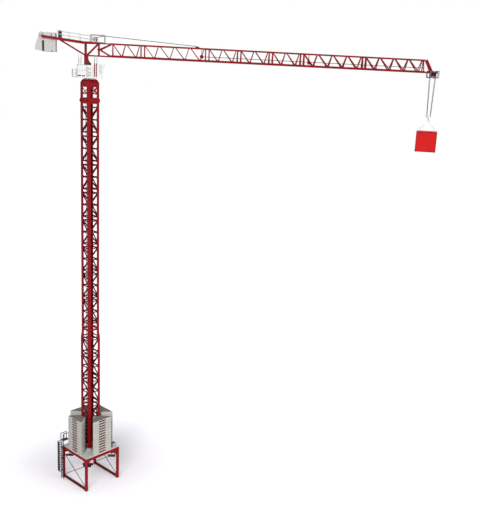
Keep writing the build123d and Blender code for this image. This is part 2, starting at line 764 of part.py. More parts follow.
def cab_body():
    """A hollow cab with an open front and side windows for the panes."""
    width = CAB_OUTER - CAB_INNER
    shell = extrude(cab_plane(-CAB_INNER) * cab_outline(0), amount=width)
    shell -= extrude(cab_plane(-CAB_INNER - CAB_WALL) * cab_outline(CAB_WALL), amount=width - 2 * CAB_WALL)
    low = platform_top + CAB_SILL
    high = cab_top - CAB_WALL
    front = block(CAB_FRONT - CAB_WALL, CAB_FRONT + 2 * CAB_LEAN,
                  -CAB_OUTER + CAB_WALL, -CAB_INNER - CAB_WALL, platform_top + CAB_WALL, high)
    middle = (CAB_REAR + CAB_FRONT) / 2
    side = block(middle, CAB_FRONT - CAB_WALL, -CAB_OUTER - CAB_WALL, -CAB_INNER + CAB_WALL,
                 low, high - CAB_WALL)
    return shell - front - side


def cab_glass():
    """The sloping front pane and the two side panes, set inside the walls."""
    gap = PANE_GAP
    low = platform_top + CAB_WALL + gap
    high = cab_top - CAB_WALL - gap
    height = cab_top - platform_top
    lean_low = CAB_LEAN * (low - platform_top) / height
    lean_high = CAB_LEAN * (high - platform_top) / height
    pane = Polygon((CAB_FRONT + lean_low - CAB_WALL, low), (CAB_FRONT + lean_low, low),
                   (CAB_FRONT + lean_high, high), (CAB_FRONT + lean_high - CAB_WALL, high), align=None)
    width = CAB_OUTER - CAB_INNER - 2 * (CAB_WALL + gap)
    front = extrude(cab_plane(-CAB_INNER - CAB_WALL - gap) * pane, amount=width)
    middle = (CAB_REAR + CAB_FRONT) / 2
    panes = [front]
    for y in (-CAB_OUTER, -CAB_INNER - CAB_WALL):
        panes.append(block(middle + gap, CAB_FRONT - CAB_WALL - gap, y + gap, y + CAB_WALL - gap,
                           platform_top + CAB_SILL + gap, cab_top - 2 * CAB_WALL - gap))
    return panes


def side_platform():
    """A walkway behind the cabinet with a rail round it."""
    half = RAIL_BAR / 2
    x0 = WALKWAY_REAR
    x1 = PLATFORM_REAR
    y0 = -CABINET_OUTER
    y1 = -CABINET_INNER
    pieces = [block(x0, x1, y0, y1, platform_low, platform_top)]
    top = platform_top + WALKWAY_RAIL
    for x in (x0 + half, x1 - half):
        for y in (y0 + half, y1 - half):
            pieces.append(block(x - half, x + half, y - half, y + half, platform_top, top))
    for z in (top, (top + platform_top) / 2):
        pieces.append(block(x0, x0 + RAIL_BAR, y0, y1, z - half, z + half))
        for y in (y0 + half, y1 - half):
            pieces.append(block(x0, x1, y - half, y + half, z - half, z + half))
    return Part() + pieces


def ladder_frame():
    """The stout lower part of the ladder up to the jib's root."""
    half = LADDER_FRAME_BAR / 2
    y = -CHORD_HALF - PLATE_THICK / 2 - half
    high = platform_top + LADDER_FRAME_HEIGHT
    pieces = []
    for side in (-1, 1):
        x = ROOT_LADDER_X + side * HEAD_LADDER_HALF
        pieces.append(block(x - half, x + half, y - half, y + half, platform_top, high))
    for step in range(1, int(LADDER_FRAME_HEIGHT / HEAD_LADDER_PITCH)):
        z = platform_top + step * HEAD_LADDER_PITCH
        pieces.append(block(ROOT_LADDER_X - HEAD_LADDER_HALF, ROOT_LADDER_X + HEAD_LADDER_HALF,
                            y - LADDER_BAR / 2, y + LADDER_BAR / 2, z - LADDER_BAR / 2, z + LADDER_BAR / 2))
    return Part() + pieces


def step_panel():
    """The panel between the switch cabinet and the ladder."""
    return block(CABINET_FRONT, STEP_PANEL_FRONT, -CABINET_INNER - WALL, -CABINET_INNER, platform_top, cabinet_top)


def head_ladders():
    """A ladder up to the jib's root and one up to the counter-jib."""
    ladders = []
    root_y = -CHORD_HALF - PLATE_THICK / 2 - LADDER_BAR / 2
    roof_y = -CABINET_INNER - 2 * LADDER_BAR
    for x, y, low, high in ((ROOT_LADDER_X, root_y, platform_top + LADDER_FRAME_HEIGHT, jib_bottom),
                            (COUNTER_LADDER_X, roof_y, cabinet_top, jib_bottom)):
        half = LADDER_BAR / 2
        pieces = []
        for side in (-1, 1):
            rail = x + side * HEAD_LADDER_HALF
            pieces.append(block(rail - half, rail + half, y - half, y + half, low, high))
        count = int((high - low) / HEAD_LADDER_PITCH)
        for step in range(1, count):
            z = low + step * HEAD_LADDER_PITCH
            pieces.append(block(x - HEAD_LADDER_HALF, x + HEAD_LADDER_HALF, y - half, y + half,
                                z - half, z + half))
        ladders.append(Part() + pieces)
    return ladders


# Counter-jib, which rises slightly towards its end

def counter_line(reach):
    """Height of the counter-jib beams' centre at a reach behind the axis."""
    return jib_top + COUNTER_RISE * (reach + COLUMN_REAR)


def counter_top(reach):
    """Height of the beams' sloping top face."""
    return counter_line(reach) + COUNTER_BEAM_DEPTH / 2 * math.hypot(1, COUNTER_RISE)


def counter_jib_frame():
    """Two side beams with cross beams, and the struts down to the column."""
    root = -COLUMN_REAR + CHORD
    pieces = []
    for side in (-1, 1):
        y = side * COUNTER_HALF
        pieces.append(bar((-root, y, counter_line(root)), (-COUNTER_END, y, counter_line(COUNTER_END)),
                          COUNTER_BEAM_WIDTH, COUNTER_BEAM_DEPTH))
    inner = COUNTER_HALF - COUNTER_BEAM_WIDTH / 2 + WELD_DEPTH
    for reach in COUNTER_CROSSES:
        z = counter_line(reach)
        pieces.append(block(-reach - CHORD / 2, -reach + CHORD / 2, -inner, inner,
                            z - CHORD / 2, z + CHORD / 2))
    frame = Part() + pieces
    foot_x = COLUMN_REAR + CHORD
    foot_y = CHORD_HALF + (PLATE_THICK + STRUT_BAR) / 2 + PANEL_GAP
    foot_z = jib_bottom
    head_z = counter_line(STRUT_REACH) - COUNTER_BEAM_DEPTH / 2 + STRUT_BAR / 2
    for side in (-1, 1):
        foot = (foot_x, side * foot_y, foot_z)
        frame += bar(foot, (-STRUT_REACH, side * COUNTER_HALF, head_z), STRUT_BAR, STRUT_BAR, (0, 1, 0))
    return frame


def counter_jib_deck():
    """Grating between the beams up to the counterweight, and on the tower head."""
    x0 = -DECK_END
    x1 = COLUMN_REAR - CHORD - RUN_GAP
    inner = COUNTER_HALF - COUNTER_BEAM_WIDTH / 2
    top0 = counter_top(DECK_END)
    top1 = counter_top(-x1)
    side = Polygon((x0, top0 - GRATING_THICK), (x1, top1 - GRATING_THICK), (x1, top1), (x0, top0), align=None)
    walkway = block(WALKWAY_START, WALKWAY_END, -WALKWAY_HALF, WALKWAY_HALF, winch_foot, walkway_top)
    walkway -= block(WINCH_REAR - RUN_GAP, WALKWAY_END, -WALKWAY_SLIT, WALKWAY_SLIT, winch_foot, walkway_top)
    return [extrude(cab_plane(inner) * side, amount=2 * inner), walkway]


def counter_jib_rails():
    """Handrails along both sides of the counter-jib."""
    half = RAIL_BAR / 2
    rails = []
    for side in (-1, 1):
        y = side * COUNTER_HALF
        pieces = []
        for reach in RAIL_POSTS:
            low = max(counter_top(reach + half), walkway_top)
            high = counter_top(reach + half) + RAIL_HEIGHT
            pieces.append(block(-reach - half, -reach + half, y - half, y + half, low, high))
        first = RAIL_POSTS[0]
        last = RAIL_POSTS[-1]
        for rise in (RAIL_HEIGHT, RAIL_HEIGHT / 2):
            z0 = counter_top(first) + rise - half
            z1 = counter_top(last) + rise - half
            pieces.append(bar((-first - half, y, z0), (-last + half, y, z1), RAIL_BAR, RAIL_BAR))
        rails.append(Part() + pieces)
    return rails


def counterweights():
    """Slabs that hang between the beams by their wider upper ears."""
    slabs = []
    rear = WEIGHT_REAR
    for thick in WEIGHT_THICK:
        front = rear - thick
        rearmost = rear == WEIGHT_REAR
        lean = WEIGHT_LEAN if rearmost else 0
        foot = WEIGHT_FOOT_RISE if rearmost else 0
        shoulder = WEIGHT_SHOULDER if rearmost else 0
        seat = counter_top(front)
        seat_high = counter_top(rear)
        points = [(-rear, weight_low + foot), (-front, weight_low), (-front, weight_high),
                  (-rear + lean, weight_high)]
        if shoulder:
            points.append((-rear, weight_high - shoulder))
        outline = Polygon(*points, align=None)
        body = extrude(cab_plane(WEIGHT_HALF) * outline, amount=2 * WEIGHT_HALF)
        above = Polygon((-rear, seat_high), (-front, seat), (-front, weight_high), (-rear, weight_high), align=None)
        body += extrude(cab_plane(EAR_HALF) * (outline & above), amount=2 * EAR_HALF)
        slabs.append(body)
        rear = front - WEIGHT_GAP
    return slabs


def control_cabinet():
    low = counter_top(CONTROL_REACH + CONTROL_DEPTH / 2)
    return block(-CONTROL_REACH - CONTROL_DEPTH / 2, -CONTROL_REACH + CONTROL_DEPTH / 2,
                 -CONTROL_HALF, CONTROL_HALF, low, low + CONTROL_HEIGHT)


# Hoist winch on top of the jib's root

def winch_frame():
    """Bearing plates for the drum, posts at both ends, a roof bar and a rope roller."""
    half = PLATE_THICK / 2
    rear = (WINCH_REAR, WINCH_REAR + PLATE_THICK)
    front = (winch_front - PLATE_THICK, winch_front)
    pieces = []
    for side in (-1, 1):
        y = side * CHORD_HALF
        for low in (winch_foot, winch_top):
            pieces.append(block(WINCH_REAR, winch_front, y - half, y + half, low, low + PLATE_THICK))
        pieces.append(block(DRUM_REACH - CHORD, DRUM_REACH + CHORD, y - half, y + half,
                            winch_foot, drum_height + CHORD))
        for x0, x1 in (rear, front):
            pieces.append(block(x0, x1, y - half, y + half, winch_foot, winch_top))
    for x0, x1 in (rear, front):
        pieces.append(block(x0, x1, -CHORD_HALF, CHORD_HALF, winch_foot, winch_foot + PLATE_THICK))
    roller_x = winch_front - PLATE_THICK / 2
    roller_z = winch_top - ROLLER_DIAMETER / 2 - ROPE_DIAMETER
    pieces.append(rod((roller_x, -CHORD_HALF, roller_z), (roller_x, CHORD_HALF, roller_z), ROLLER_DIAMETER))
    hole = rod((DRUM_REACH, -2 * CHORD_HALF, drum_height), (DRUM_REACH, 2 * CHORD_HALF, drum_height),
               AXLE_DIAMETER + 2 * AXLE_GAP, 16)
    return Part() + pieces - hole


def winch_drum():
    """A drum with end flanges on an axle between the bearing plates."""
    inner = CHORD_HALF - PLATE_THICK
    axle = CHORD_HALF + PLATE_THICK / 2
    y_axis = Plane(origin=(DRUM_REACH, 0, drum_height), z_dir=(0, 1, 0))
    drum = extrude(y_axis * Circle(DRUM_DIAMETER / 2 - FLANGE_STEP), amount=inner, both=True)
    drum += extrude(y_axis * Circle(AXLE_DIAMETER / 2), amount=axle, both=True)
    for side in (-1, 1):
        flange = Plane(origin=(DRUM_REACH, side * (inner - FLANGE_STEP / 2), drum_height), z_dir=(0, 1, 0))
        drum += extrude(flange * Circle(DRUM_DIAMETER / 2), amount=FLANGE_STEP / 2, both=True)
    return drum


# Jib

def jib_top_chord():
    start = HUB_REACH + CHORD / 2
    return block(start, JIB_JOINTS[-1], -CHORD / 2, CHORD / 2, jib_top - CHORD / 2, jib_top + CHORD / 2)


def jib_bottom_chords():
    """Two chords, each with an outer ledge that the trolley's wheels run on."""
    start = HUB_REACH + CHORD / 2
    chords = []
    low = jib_bottom - CHORD / 2
    for side in (-1, 1):
        y = side * CHORD_HALF
        chord = block(start, tip_end, y - CHORD / 2, y + CHORD / 2, low, jib_bottom + CHORD / 2)
        edge = y + side * CHORD / 2
        outer = edge + side * LEDGE_WIDTH
        chord += block(LEDGE_START, tip_end, edge, outer, low, low + LEDGE_THICK)
        chords.append(chord)
    return chords


def jib_spans():
    starts = (ROOT_REACH,) + JIB_JOINTS[:-1]
    return list(zip(starts, JIB_JOINTS))


def side_strips(height):
    """Posts at each section's ends and two diagonals in each bay, drawn flat."""
    strips = []
    for start, end in jib_spans():
        first = start + POST_INSET
        last = end - POST_INSET
        for x in (first, last):
            strips.append(strip((x, 0), (x, height), POST_BAR))
        count = round((last - first) / BAY)
        bay = (last - first) / count
        for step in range(count):
            x = first + step * bay
            foot = x + bay * FOOT_SHARE
            strips.append(strip((x, height), (foot, 0), LACING_BAR))
            strips.append(strip((foot, 0), (x + bay * TOP_SHARE, height), LACING_BAR))
    return strips


def jib_side(side):
    """One slanting lattice between a bottom chord and the top chord."""
    top_y = side * (CHORD / 2 + LACING_THICK / 2 + PANEL_GAP)
    low_y = side * CHORD_HALF
    height = math.hypot(JIB_HEIGHT, CHORD_HALF - CHORD / 2 - LACING_THICK / 2)
    up = Vector(0, (top_y - low_y) / height, JIB_HEIGHT / height)
    along = Vector(1, 0, 0)
    plane = Plane(origin=(0, low_y, jib_bottom), x_dir=along, z_dir=along.cross(up))
    start = ROOT_REACH
    end = JIB_JOINTS[-1]
    strips = side_strips(height)
    for v in (CHORD / 2 + LACING_BAR / 2, height - LACING_BAR / 2):
        strips.append(strip((start, v), (end, v), LACING_BAR))
    outline = Pos((start + end) / 2, height / 2) * Rectangle(end - start, height + CHORD)
    lattice = extrude(plane * panel(strips, outline), amount=LACING_THICK / 2, both=True)
    room = block(start, end, -2 * CHORD_HALF, 2 * CHORD_HALF, jib_bottom + CHORD / 2, jib_top)
    return lattice & room


def jib_lacing():
    """The flat zigzag between the bottom chords."""
    inner = CHORD_HALF - CHORD / 2
    start = HUB_REACH + CHORD / 2
    end = JIB_JOINTS[-1]
    edge = inner - LACING_BAR / 2
    strips = [strip((start, side * edge), (end, side * edge), LACING_BAR) for side in (-1, 1)]
    count = round((end - start) / BAY)
    bay = (end - start) / count
    for step in range(count):
        x = start + step * bay
        side = 1 if step % 2 else -1
        strips.append(strip((x, side * inner), (x + bay, -side * inner), LACING_BAR))
        strips.append(strip((x + bay, -inner), (x + bay, inner), LACING_BAR))
    outline = Pos((start + end) / 2, 0) * Rectangle(end - start, 2 * inner)
    flat = panel(strips, outline)
    return Pos(0, 0, jib_bottom) * extrude(flat, amount=LACING_THICK / 2, both=True)


def jib_root():
    """Two forked arms from the hub to the chords at the first posts."""
    arms = []
    room = block(HUB_REACH - HUB_DIAMETER, ROOT_REACH, -2 * CHORD_HALF, 2 * CHORD_HALF,
                 jib_bottom - CHORD, jib_top + CHORD)
    for side in (-1, 1):
        y = side * (CHORD_HALF + (CHORD + ROOT_BAR) / 2)
        hub = (HUB_REACH + (CHORD + ROOT_BAR) / 2, y, hub_height)
        piece = rod((HUB_REACH, y - ROOT_BAR / 2, hub_height), (HUB_REACH, y + ROOT_BAR / 2, hub_height),
                    HUB_DIAMETER, 12)
        low = (ROOT_REACH, y, jib_bottom)
        high = (ROOT_REACH, side * (CHORD + ROOT_BAR) / 2, jib_top - CHORD / 2)
        piece += bar(hub, low, ROOT_BAR, ROOT_BAR, (0, 1, 0))
        piece += bar(hub, high, ROOT_BAR, ROOT_BAR, (0, 1, 0))
        arms.append(piece & room)
    return arms


def jib_nose():
    """The sloping end frame that closes the jib past its last joint."""
    start = JIB_JOINTS[-1]
    pieces = []
    for side in (-1, 1):
        pieces.append(bar((start, side * CHORD / 2, jib_top), (nose_end, side * NOSE_HALF, jib_bottom),
                          LACING_THICK * 2, CHORD, (0, 1, 0)))
    low = jib_bottom - CHORD / 2
    inner = CHORD_HALF - CHORD / 2
    pieces.append(block(nose_end - CHORD, nose_end, -inner, inner, low, jib_bottom + CHORD))
    pieces.append(block(tip_end - CHORD, tip_end, -inner, inner, low, jib_bottom + CHORD / 2))
    nose = Part() + pieces
    return nose & block(start, tip_end, -inner, inner, low, jib_top + CHORD / 2)


def pulley(x, z, diameter, width):
    plane = Plane(origin=(x, 0, z), z_dir=(0, 1, 0))
    return extrude(plane * Circle(diameter / 2), amount=width / 2, both=True)


def rope_pulleys():
    """A bracket on the top chord, the wheel that leads the rope down, and the
    guide that the lower rope runs through. Wheel and guide hang from the chord."""
    half = CHORD / 2
    bracket = block(PULLEY_REACH - PULLEY_DIAMETER / 2, PULLEY_REACH + PULLEY_DIAMETER / 2, -half, half,
                    winch_foot, winch_foot + CHORD)
    wheel = pulley(WHEEL_REACH, pulley_height, PULLEY_DIAMETER, CHORD)
    guide = block(GUIDE_REACH - GUIDE_LENGTH / 2, GUIDE_REACH + GUIDE_LENGTH / 2, -half, half,
                  pulley_height - GUIDE_HEIGHT / 2, pulley_height + GUIDE_HEIGHT / 2)
    slot = block(GUIDE_REACH - GUIDE_LENGTH, GUIDE_REACH + GUIDE_LENGTH, -ROPE_DIAMETER, ROPE_DIAMETER,
                 pulley_height - ROPE_DIAMETER, pulley_height + ROPE_DIAMETER)
    hung = []
    for piece, reach in ((wheel, WHEEL_REACH), (guide, GUIDE_REACH)):
        piece += block(reach - HANGER_HALF, reach + HANGER_HALF, -CHORD / 4, CHORD / 4,
                       pulley_height, jib_top - half)
        hung.append(piece - slot)
    return [bracket] + hung


def hoist_ropes():
    """Taut ropes: from the drum over the winch's roller to the bracket, and
    from the wheel to the jib's tip."""
    radius = ROPE_DIAMETER / 2
    drum_top = (DRUM_REACH, 0, drum_height + DRUM_DIAMETER / 2 - FLANGE_STEP + radius)
    roller = (winch_front - PLATE_THICK / 2, 0, winch_top - radius)
    bracket = (PULLEY_REACH, 0, winch_foot + CHORD + radius)
    wheel = (WHEEL_REACH + PULLEY_DIAMETER / 2, 0, pulley_height)
    tip = (JIB_JOINTS[-1], 0, pulley_height)
    upper_rope = rod(drum_top, roller, ROPE_DIAMETER, 6) + rod(roller, bracket, ROPE_DIAMETER, 6)
    return [upper_rope, rod(wheel, tip, ROPE_DIAMETER, 6)]


# Trolley, hook block and load

def trolley_frame():
    """Two side plates under the jib, joined by cross members with sheaves."""
    x0 = trolley_reach - TROLLEY_LENGTH / 2
    x1 = trolley_reach + TROLLEY_LENGTH / 2
    pieces = []
    for side in (-1, 1):
        inner = side * (TROLLEY_HALF - PLATE_THICK)
        outer = side * TROLLEY_HALF
        y0 = inner
        y1 = outer
        pieces.append(block(x0, x1, y0, y1, trolley_bottom, trolley_bottom + CHORD))
        for x in (x0, x1 - CHORD):
            pieces.append(block(x, x + CHORD, y0, y1, trolley_bottom, wheel_axis + WHEEL_DIAMETER / 2))
        pieces.append(block(x0, x1, y0, y1, wheel_axis - CHORD / 2, wheel_axis + CHORD / 2))
    inner = TROLLEY_HALF - PLATE_THICK
    for x in (x0, x1 - CHORD):
        pieces.append(block(x, x + CHORD, -inner, inner, trolley_bottom, trolley_bottom + CHORD))
    for y in (-SHEAVE_HALF, SHEAVE_HALF):
        pieces.append(block(x0, x1, y - PLATE_THICK / 2, y + PLATE_THICK / 2,
                            trolley_bottom, trolley_bottom + CHORD))
    return Part() + pieces


def trolley_wheels():
    """Four flangeless wheels on the chord ledges, each on a stub axle."""
    wheels = []
    for side in (-1, 1):
        plate_face = side * (TROLLEY_HALF - PLATE_THICK)
        for reach in (-TROLLEY_LENGTH / 2 + WHEEL_DIAMETER, TROLLEY_LENGTH / 2 - WHEEL_DIAMETER):
            x = trolley_reach + reach
            start = plate_face - side * WHEEL_WIDTH
            plane = Plane(origin=(x, (start + plate_face) / 2, wheel_axis), z_dir=(0, 1, 0))
            wheels.append(extrude(plane * Circle(WHEEL_DIAMETER / 2), amount=WHEEL_WIDTH / 2, both=True))
    return wheels


def rope_falls():
    """The taut falls between the trolley and the hook block."""
    falls = []
    for side in (-1, 1):
        for y in (-SHEAVE_HALF, SHEAVE_HALF):
            top = (trolley_reach + side * FALL_TOP_HALF, y, trolley_bottom)
            low = (trolley_reach + side * FALL_LOW_HALF, y * FALL_CLOSE, block_top)
            falls.append(rod(top, low, FALL_DIAMETER, 6))
    return falls


def hook_block():
    """Cheek plates with two sheaves between them, and the hook below."""
    x0 = trolley_reach - HOOK_HALF
    x1 = trolley_reach + HOOK_HALF
    cheek = Polygon((trolley_reach - CHORD, block_low), (trolley_reach + CHORD, block_low),
                    (x1, block_top), (x0, block_top), align=None)
    pieces = []
    for y in (-HOOK_CHEEK, HOOK_CHEEK + LACING_THICK):
        pieces.append(extrude(cab_plane(y) * cheek, amount=LACING_THICK))
    inner = HOOK_CHEEK + LACING_THICK / 2
    pieces.append(block(trolley_reach - CHORD, trolley_reach + CHORD, -inner, inner,
                        block_low, block_low + CHORD))
    for side in (-1, 1):
        x = trolley_reach + side * SHEAVE_REACH
        plane = Plane(origin=(x, 0, block_top - SHEAVE_DIAMETER / 2), z_dir=(0, 1, 0))
        pieces.append(extrude(plane * Circle(SHEAVE_DIAMETER / 2), amount=inner, both=True))
    return Part() + pieces


def crane_hook():
    """A shank and a hook bowl, bent from one bar."""
    x = trolley_reach
    shank = rod((x, 0, sling_top + HOOK_BOWL), (x, 0, block_low), HOOK_BAR)
    path_plane = Plane(origin=(x, 0, sling_top + HOOK_BOWL / 2), x_dir=(1, 0, 0), z_dir=(0, -1, 0))
    ring = path_plane * (Circle(HOOK_BOWL / 2 + HOOK_BAR / 2) - Circle(HOOK_BOWL / 2 - HOOK_BAR / 2))
    bowl = extrude(ring, amount=HOOK_BAR / 2, both=True)
    mouth = block(x - HOOK_BOWL, x - HOOK_BAR / 2, -HOOK_BAR, HOOK_BAR,
                  sling_top + HOOK_BOWL / 2, sling_top + 2 * HOOK_BOWL)
    return shank + (bowl - mouth)


def hung(shape):
    """Turns a piece about the vertical line of the hook."""
    return Pos(trolley_reach, 0) * Rot(0, 0, LOAD_TURN) * Pos(-trolley_reach, 0) * shape


def slings():
    """Four taut sling legs from one ring down to eyes on the load's lid."""
    apex = (trolley_reach, 0, sling_top)
    reach = LOAD_SIDE / 2 - SLING_INSET
    pieces = []
    for x in (-reach, reach):
        for y in (-reach, reach):
            foot = (trolley_reach + x, y, load_top)
            pieces.append(rod(apex, foot, SLING_DIAMETER, 6))
    trim = block(0, 2 * trolley_reach, -LOAD_SIDE, LOAD_SIDE, load_top, sling_top - HOOK_BAR / 2)
    return hung((Part() + pieces) & trim)


def load_box():
    """A hollow box, open at the top, under its own lid."""
    half = LOAD_SIDE / 2
    x0 = trolley_reach - half
    x1 = trolley_reach + half
    low = load_top - LOAD_SIDE
    outer = block(x0, x1, -half, half, low, load_top - LOAD_WALL)
    wall = LOAD_WALL
    return hung(outer - block(x0 + wall, x1 - wall, -half + wall, half - wall, low + wall, load_top))


def load_lid():
    half = LOAD_SIDE / 2
    return hung(block(trolley_reach - half, trolley_reach + half, -half, half, load_top - LOAD_WALL, load_top))


def build_base():
    save("foot_pads", foot_pads())
    save("portal_legs", portal_legs())
    save("portal_sills", portal_sills())
    save("portal_braces", portal_braces())
    save("portal_beams", portal_beams())
    save("cross_arms", cross_arms())
    save("corner_clamps", corner_clamps())
    save("deck_plate", deck())
    save("deck_case", deck_case())
    for name, turn in (("front", 0), ("right", 90), ("back", 180), ("left", 270)):
        save(f"ballast_{name}", ballast_stack(turn))
    save("access_ladder", access_ladder())
    save("ladder_cage", ladder_cage())


def build_mast():
    save("mast_legs", mast_legs(mast_foot, taper_bottom) + mast_legs(upper_foot, mast_top))
    for name, lattices in mast_sides().items():
        save(f"mast_side_{name}", lattices)
    save("mast_transition", mast_transition())
    save("mast_head", mast_head())
    save("mast_ladder", mast_ladder())
    save("slewing_ring", slewing_ring())


def save_upper(name, pieces):
    if not isinstance(pieces, (list, tuple)):
        pieces = [pieces]
    save(name, [upper(piece) for piece in pieces])


def build_upper():
    save_upper("slewing_platform", slewing_platform())
    save_upper("tower_head", tower_head())
    save_upper("switch_cabinet", switch_cabinet())
    save_upper("cab_body", cab_body())
    save_upper("cab_glass", cab_glass())
    save_upper("side_platform", side_platform())
    save_upper("step_panel", step_panel())
    save_upper("ladder_frame", ladder_frame())
    save_upper("head_ladders", head_ladders())
    save_upper("counter_jib_frame", counter_jib_frame())
    save_upper("counter_jib_deck", counter_jib_deck())
    save_upper("counter_jib_rails", counter_jib_rails())
    save_upper("counterweights", counterweights())
    save_upper("control_cabinet", control_cabinet())
    save_upper("winch_frame", winch_frame())
    save_upper("winch_drum", winch_drum())
    save_upper("jib_root", jib_root())
    save_upper("jib_top_chord", jib_top_chord())
    save_upper("jib_bottom_chords", jib_bottom_chords())
    save_upper("jib_side_near", jib_side(-1))
    save_upper("jib_side_far", jib_side(1))
    save_upper("jib_lacing", jib_lacing())
    save_upper("jib_nose", jib_nose())
    save_upper("rope_pulleys", rope_pulleys())
    save_upper("hoist_ropes", hoist_ropes())


def build_trolley_and_load():
    save_upper("trolley_frame", trolley_frame())
    save_upper("trolley_wheels", trolley_wheels())
    save_upper("rope_falls", rope_falls())
    save_upper("hook_block", hook_block())
    save_upper("crane_hook", crane_hook())
    save_upper("slings", slings())
    save_upper("load_box", load_box())
    save_upper("load_lid", load_lid())


build_base()
build_mast()
build_upper()
build_trolley_and_load()
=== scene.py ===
import json
import math

import bmesh
import bpy
from mathutils import Matrix, Vector


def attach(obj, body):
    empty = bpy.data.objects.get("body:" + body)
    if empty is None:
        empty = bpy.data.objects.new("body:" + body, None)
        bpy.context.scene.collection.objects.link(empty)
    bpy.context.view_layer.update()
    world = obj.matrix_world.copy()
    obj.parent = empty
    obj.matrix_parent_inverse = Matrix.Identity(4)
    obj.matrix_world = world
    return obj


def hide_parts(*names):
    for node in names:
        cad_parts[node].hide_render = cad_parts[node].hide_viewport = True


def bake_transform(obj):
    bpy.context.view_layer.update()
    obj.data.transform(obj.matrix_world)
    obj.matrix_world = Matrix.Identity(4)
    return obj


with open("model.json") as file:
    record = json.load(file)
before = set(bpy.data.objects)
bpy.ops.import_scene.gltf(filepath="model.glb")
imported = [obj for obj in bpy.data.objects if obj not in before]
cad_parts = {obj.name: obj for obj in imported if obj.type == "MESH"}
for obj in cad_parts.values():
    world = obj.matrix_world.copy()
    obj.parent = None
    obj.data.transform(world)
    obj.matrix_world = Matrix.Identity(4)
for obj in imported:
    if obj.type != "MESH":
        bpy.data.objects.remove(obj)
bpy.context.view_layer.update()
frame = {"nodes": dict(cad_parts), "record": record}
nodes = frame["nodes"]
print("frame loaded:", len(nodes), "solids")

# Sizes are in millimetres. Upper works are drawn with the jib along X, then turned over the corner.
mm = 0.001
jibHeading = math.radians(-42.5)
basePlace = Matrix.Scale(mm, 4)
jibPlace = Matrix.Rotation(jibHeading, 4, "Z") @ Matrix.Scale(mm, 4)
quarterTurns = [Matrix.Rotation(math.radians(90 * step), 4, "Z") for step in range(4)]

cameraView = {"place": (-1.4018, -1.9197, 1.3622), "heading": 41.92, "down": 13.516, "roll": 2.687,
              "lens": 49.55, "sensor": 36.0, "far": 60.0}


def placeCamera():
    data = bpy.data.cameras.new("photoCamera")
    data.lens = cameraView["lens"]
    data.sensor_width = cameraView["sensor"]
    data.clip_end = cameraView["far"]
    camera = bpy.data.objects.new("photoCamera", data)
    bpy.context.collection.objects.link(camera)
    turn = (Matrix.Rotation(math.radians(cameraView["heading"] - 90), 4, "Z")
            @ Matrix.Rotation(math.radians(90 - cameraView["down"]), 4, "X")
            @ Matrix.Rotation(math.radians(cameraView["roll"]), 4, "Z"))
    camera.matrix_world = Matrix.Translation(cameraView["place"]) @ turn
    bpy.context.scene.camera = camera


placeCamera()
print("camera placed")


def linear(hexColour):
    values = [int(hexColour[start:start + 2], 16) / 255 for start in (1, 3, 5)]
    return [v / 12.92 if v <= 0.04045 else ((v + 0.055) / 1.055) ** 2.4 for v in values] + [1.0]


def addNode(tree, kind, settings=None, links=()):
    node = tree.nodes.new(kind)
    for name, value in (settings or {}).items():
        if isinstance(name, int) or name in node.inputs:
            node.inputs[name].default_value = value
        else:
            setattr(node, name, value)
    for name, source in links:
        tree.links.new(source, node.inputs[name])
    return node


# the floor's glow is lower near the crane: a painted shadow round the base
studio = {"world": 0.34, "floorHalf": 15.0, "floorTint": "#F3F1F8", "floorRough": 0.95, "floorGloss": 0.0,
          "paintedShadowCentre": (0.1, 0.1, 0.0), "paintedShadowLift": 0.16, "farLift": 0.47,
          "paintedShadowCore": 0.1, "paintedShadowEdge": 0.36,
          "lamps": (("key", (-1.0, -0.75, 0.75), 30.0, 1.75), ("fill", (0.35, -1.0, 0.45), 50.0, 1.0))}


def shownRays(tree):  # 1 where the lens, a reflection or glass sees the background
    rays = addNode(tree, "ShaderNodeLightPath")
    direct = addNode(tree, "ShaderNodeMath", {"operation": "MAXIMUM"},
                     [(0, rays.outputs["Is Camera Ray"]), (1, rays.outputs["Is Glossy Ray"])])
    return addNode(tree, "ShaderNodeMath", {"operation": "MAXIMUM"},
                   [(0, direct.outputs[0]), (1, rays.outputs["Is Transmission Ray"])]).outputs[0]


def lightStudio():
    world = bpy.data.worlds.new("studio")
    bpy.context.scene.world = world
    world.use_nodes = True
    tree = world.node_tree
    tree.nodes.clear()
    dim = addNode(tree, "ShaderNodeBackground", {"Color": (1, 1, 1, 1), "Strength": studio["world"]})
    white = addNode(tree, "ShaderNodeBackground", {"Color": (1, 1, 1, 1), "Strength": 1.0})
    mix = addNode(tree, "ShaderNodeMixShader", {},
                  [(0, shownRays(tree)), (1, dim.outputs[0]), (2, white.outputs[0])])
    addNode(tree, "ShaderNodeOutputWorld", {}, [("Surface", mix.outputs[0])])
    for name, side, spread, strength in studio["lamps"]:  # wide, distant softboxes light all heights alike
        data = bpy.data.lights.new(name, "SUN")
        data.energy = strength
        data.angle = math.radians(spread)
        lamp = bpy.data.objects.new(name, data)
        bpy.context.collection.objects.link(lamp)
        lamp.rotation_euler = Vector(side).to_track_quat("Z", "Y").to_euler()
    bpy.context.scene.view_settings.view_transform = "Standard"


def newMaterial(name):
    material = bpy.data.materials.new(name)
    material.use_nodes = True
    tree = material.node_tree
    return material, tree, tree.nodes["Principled BSDF"]


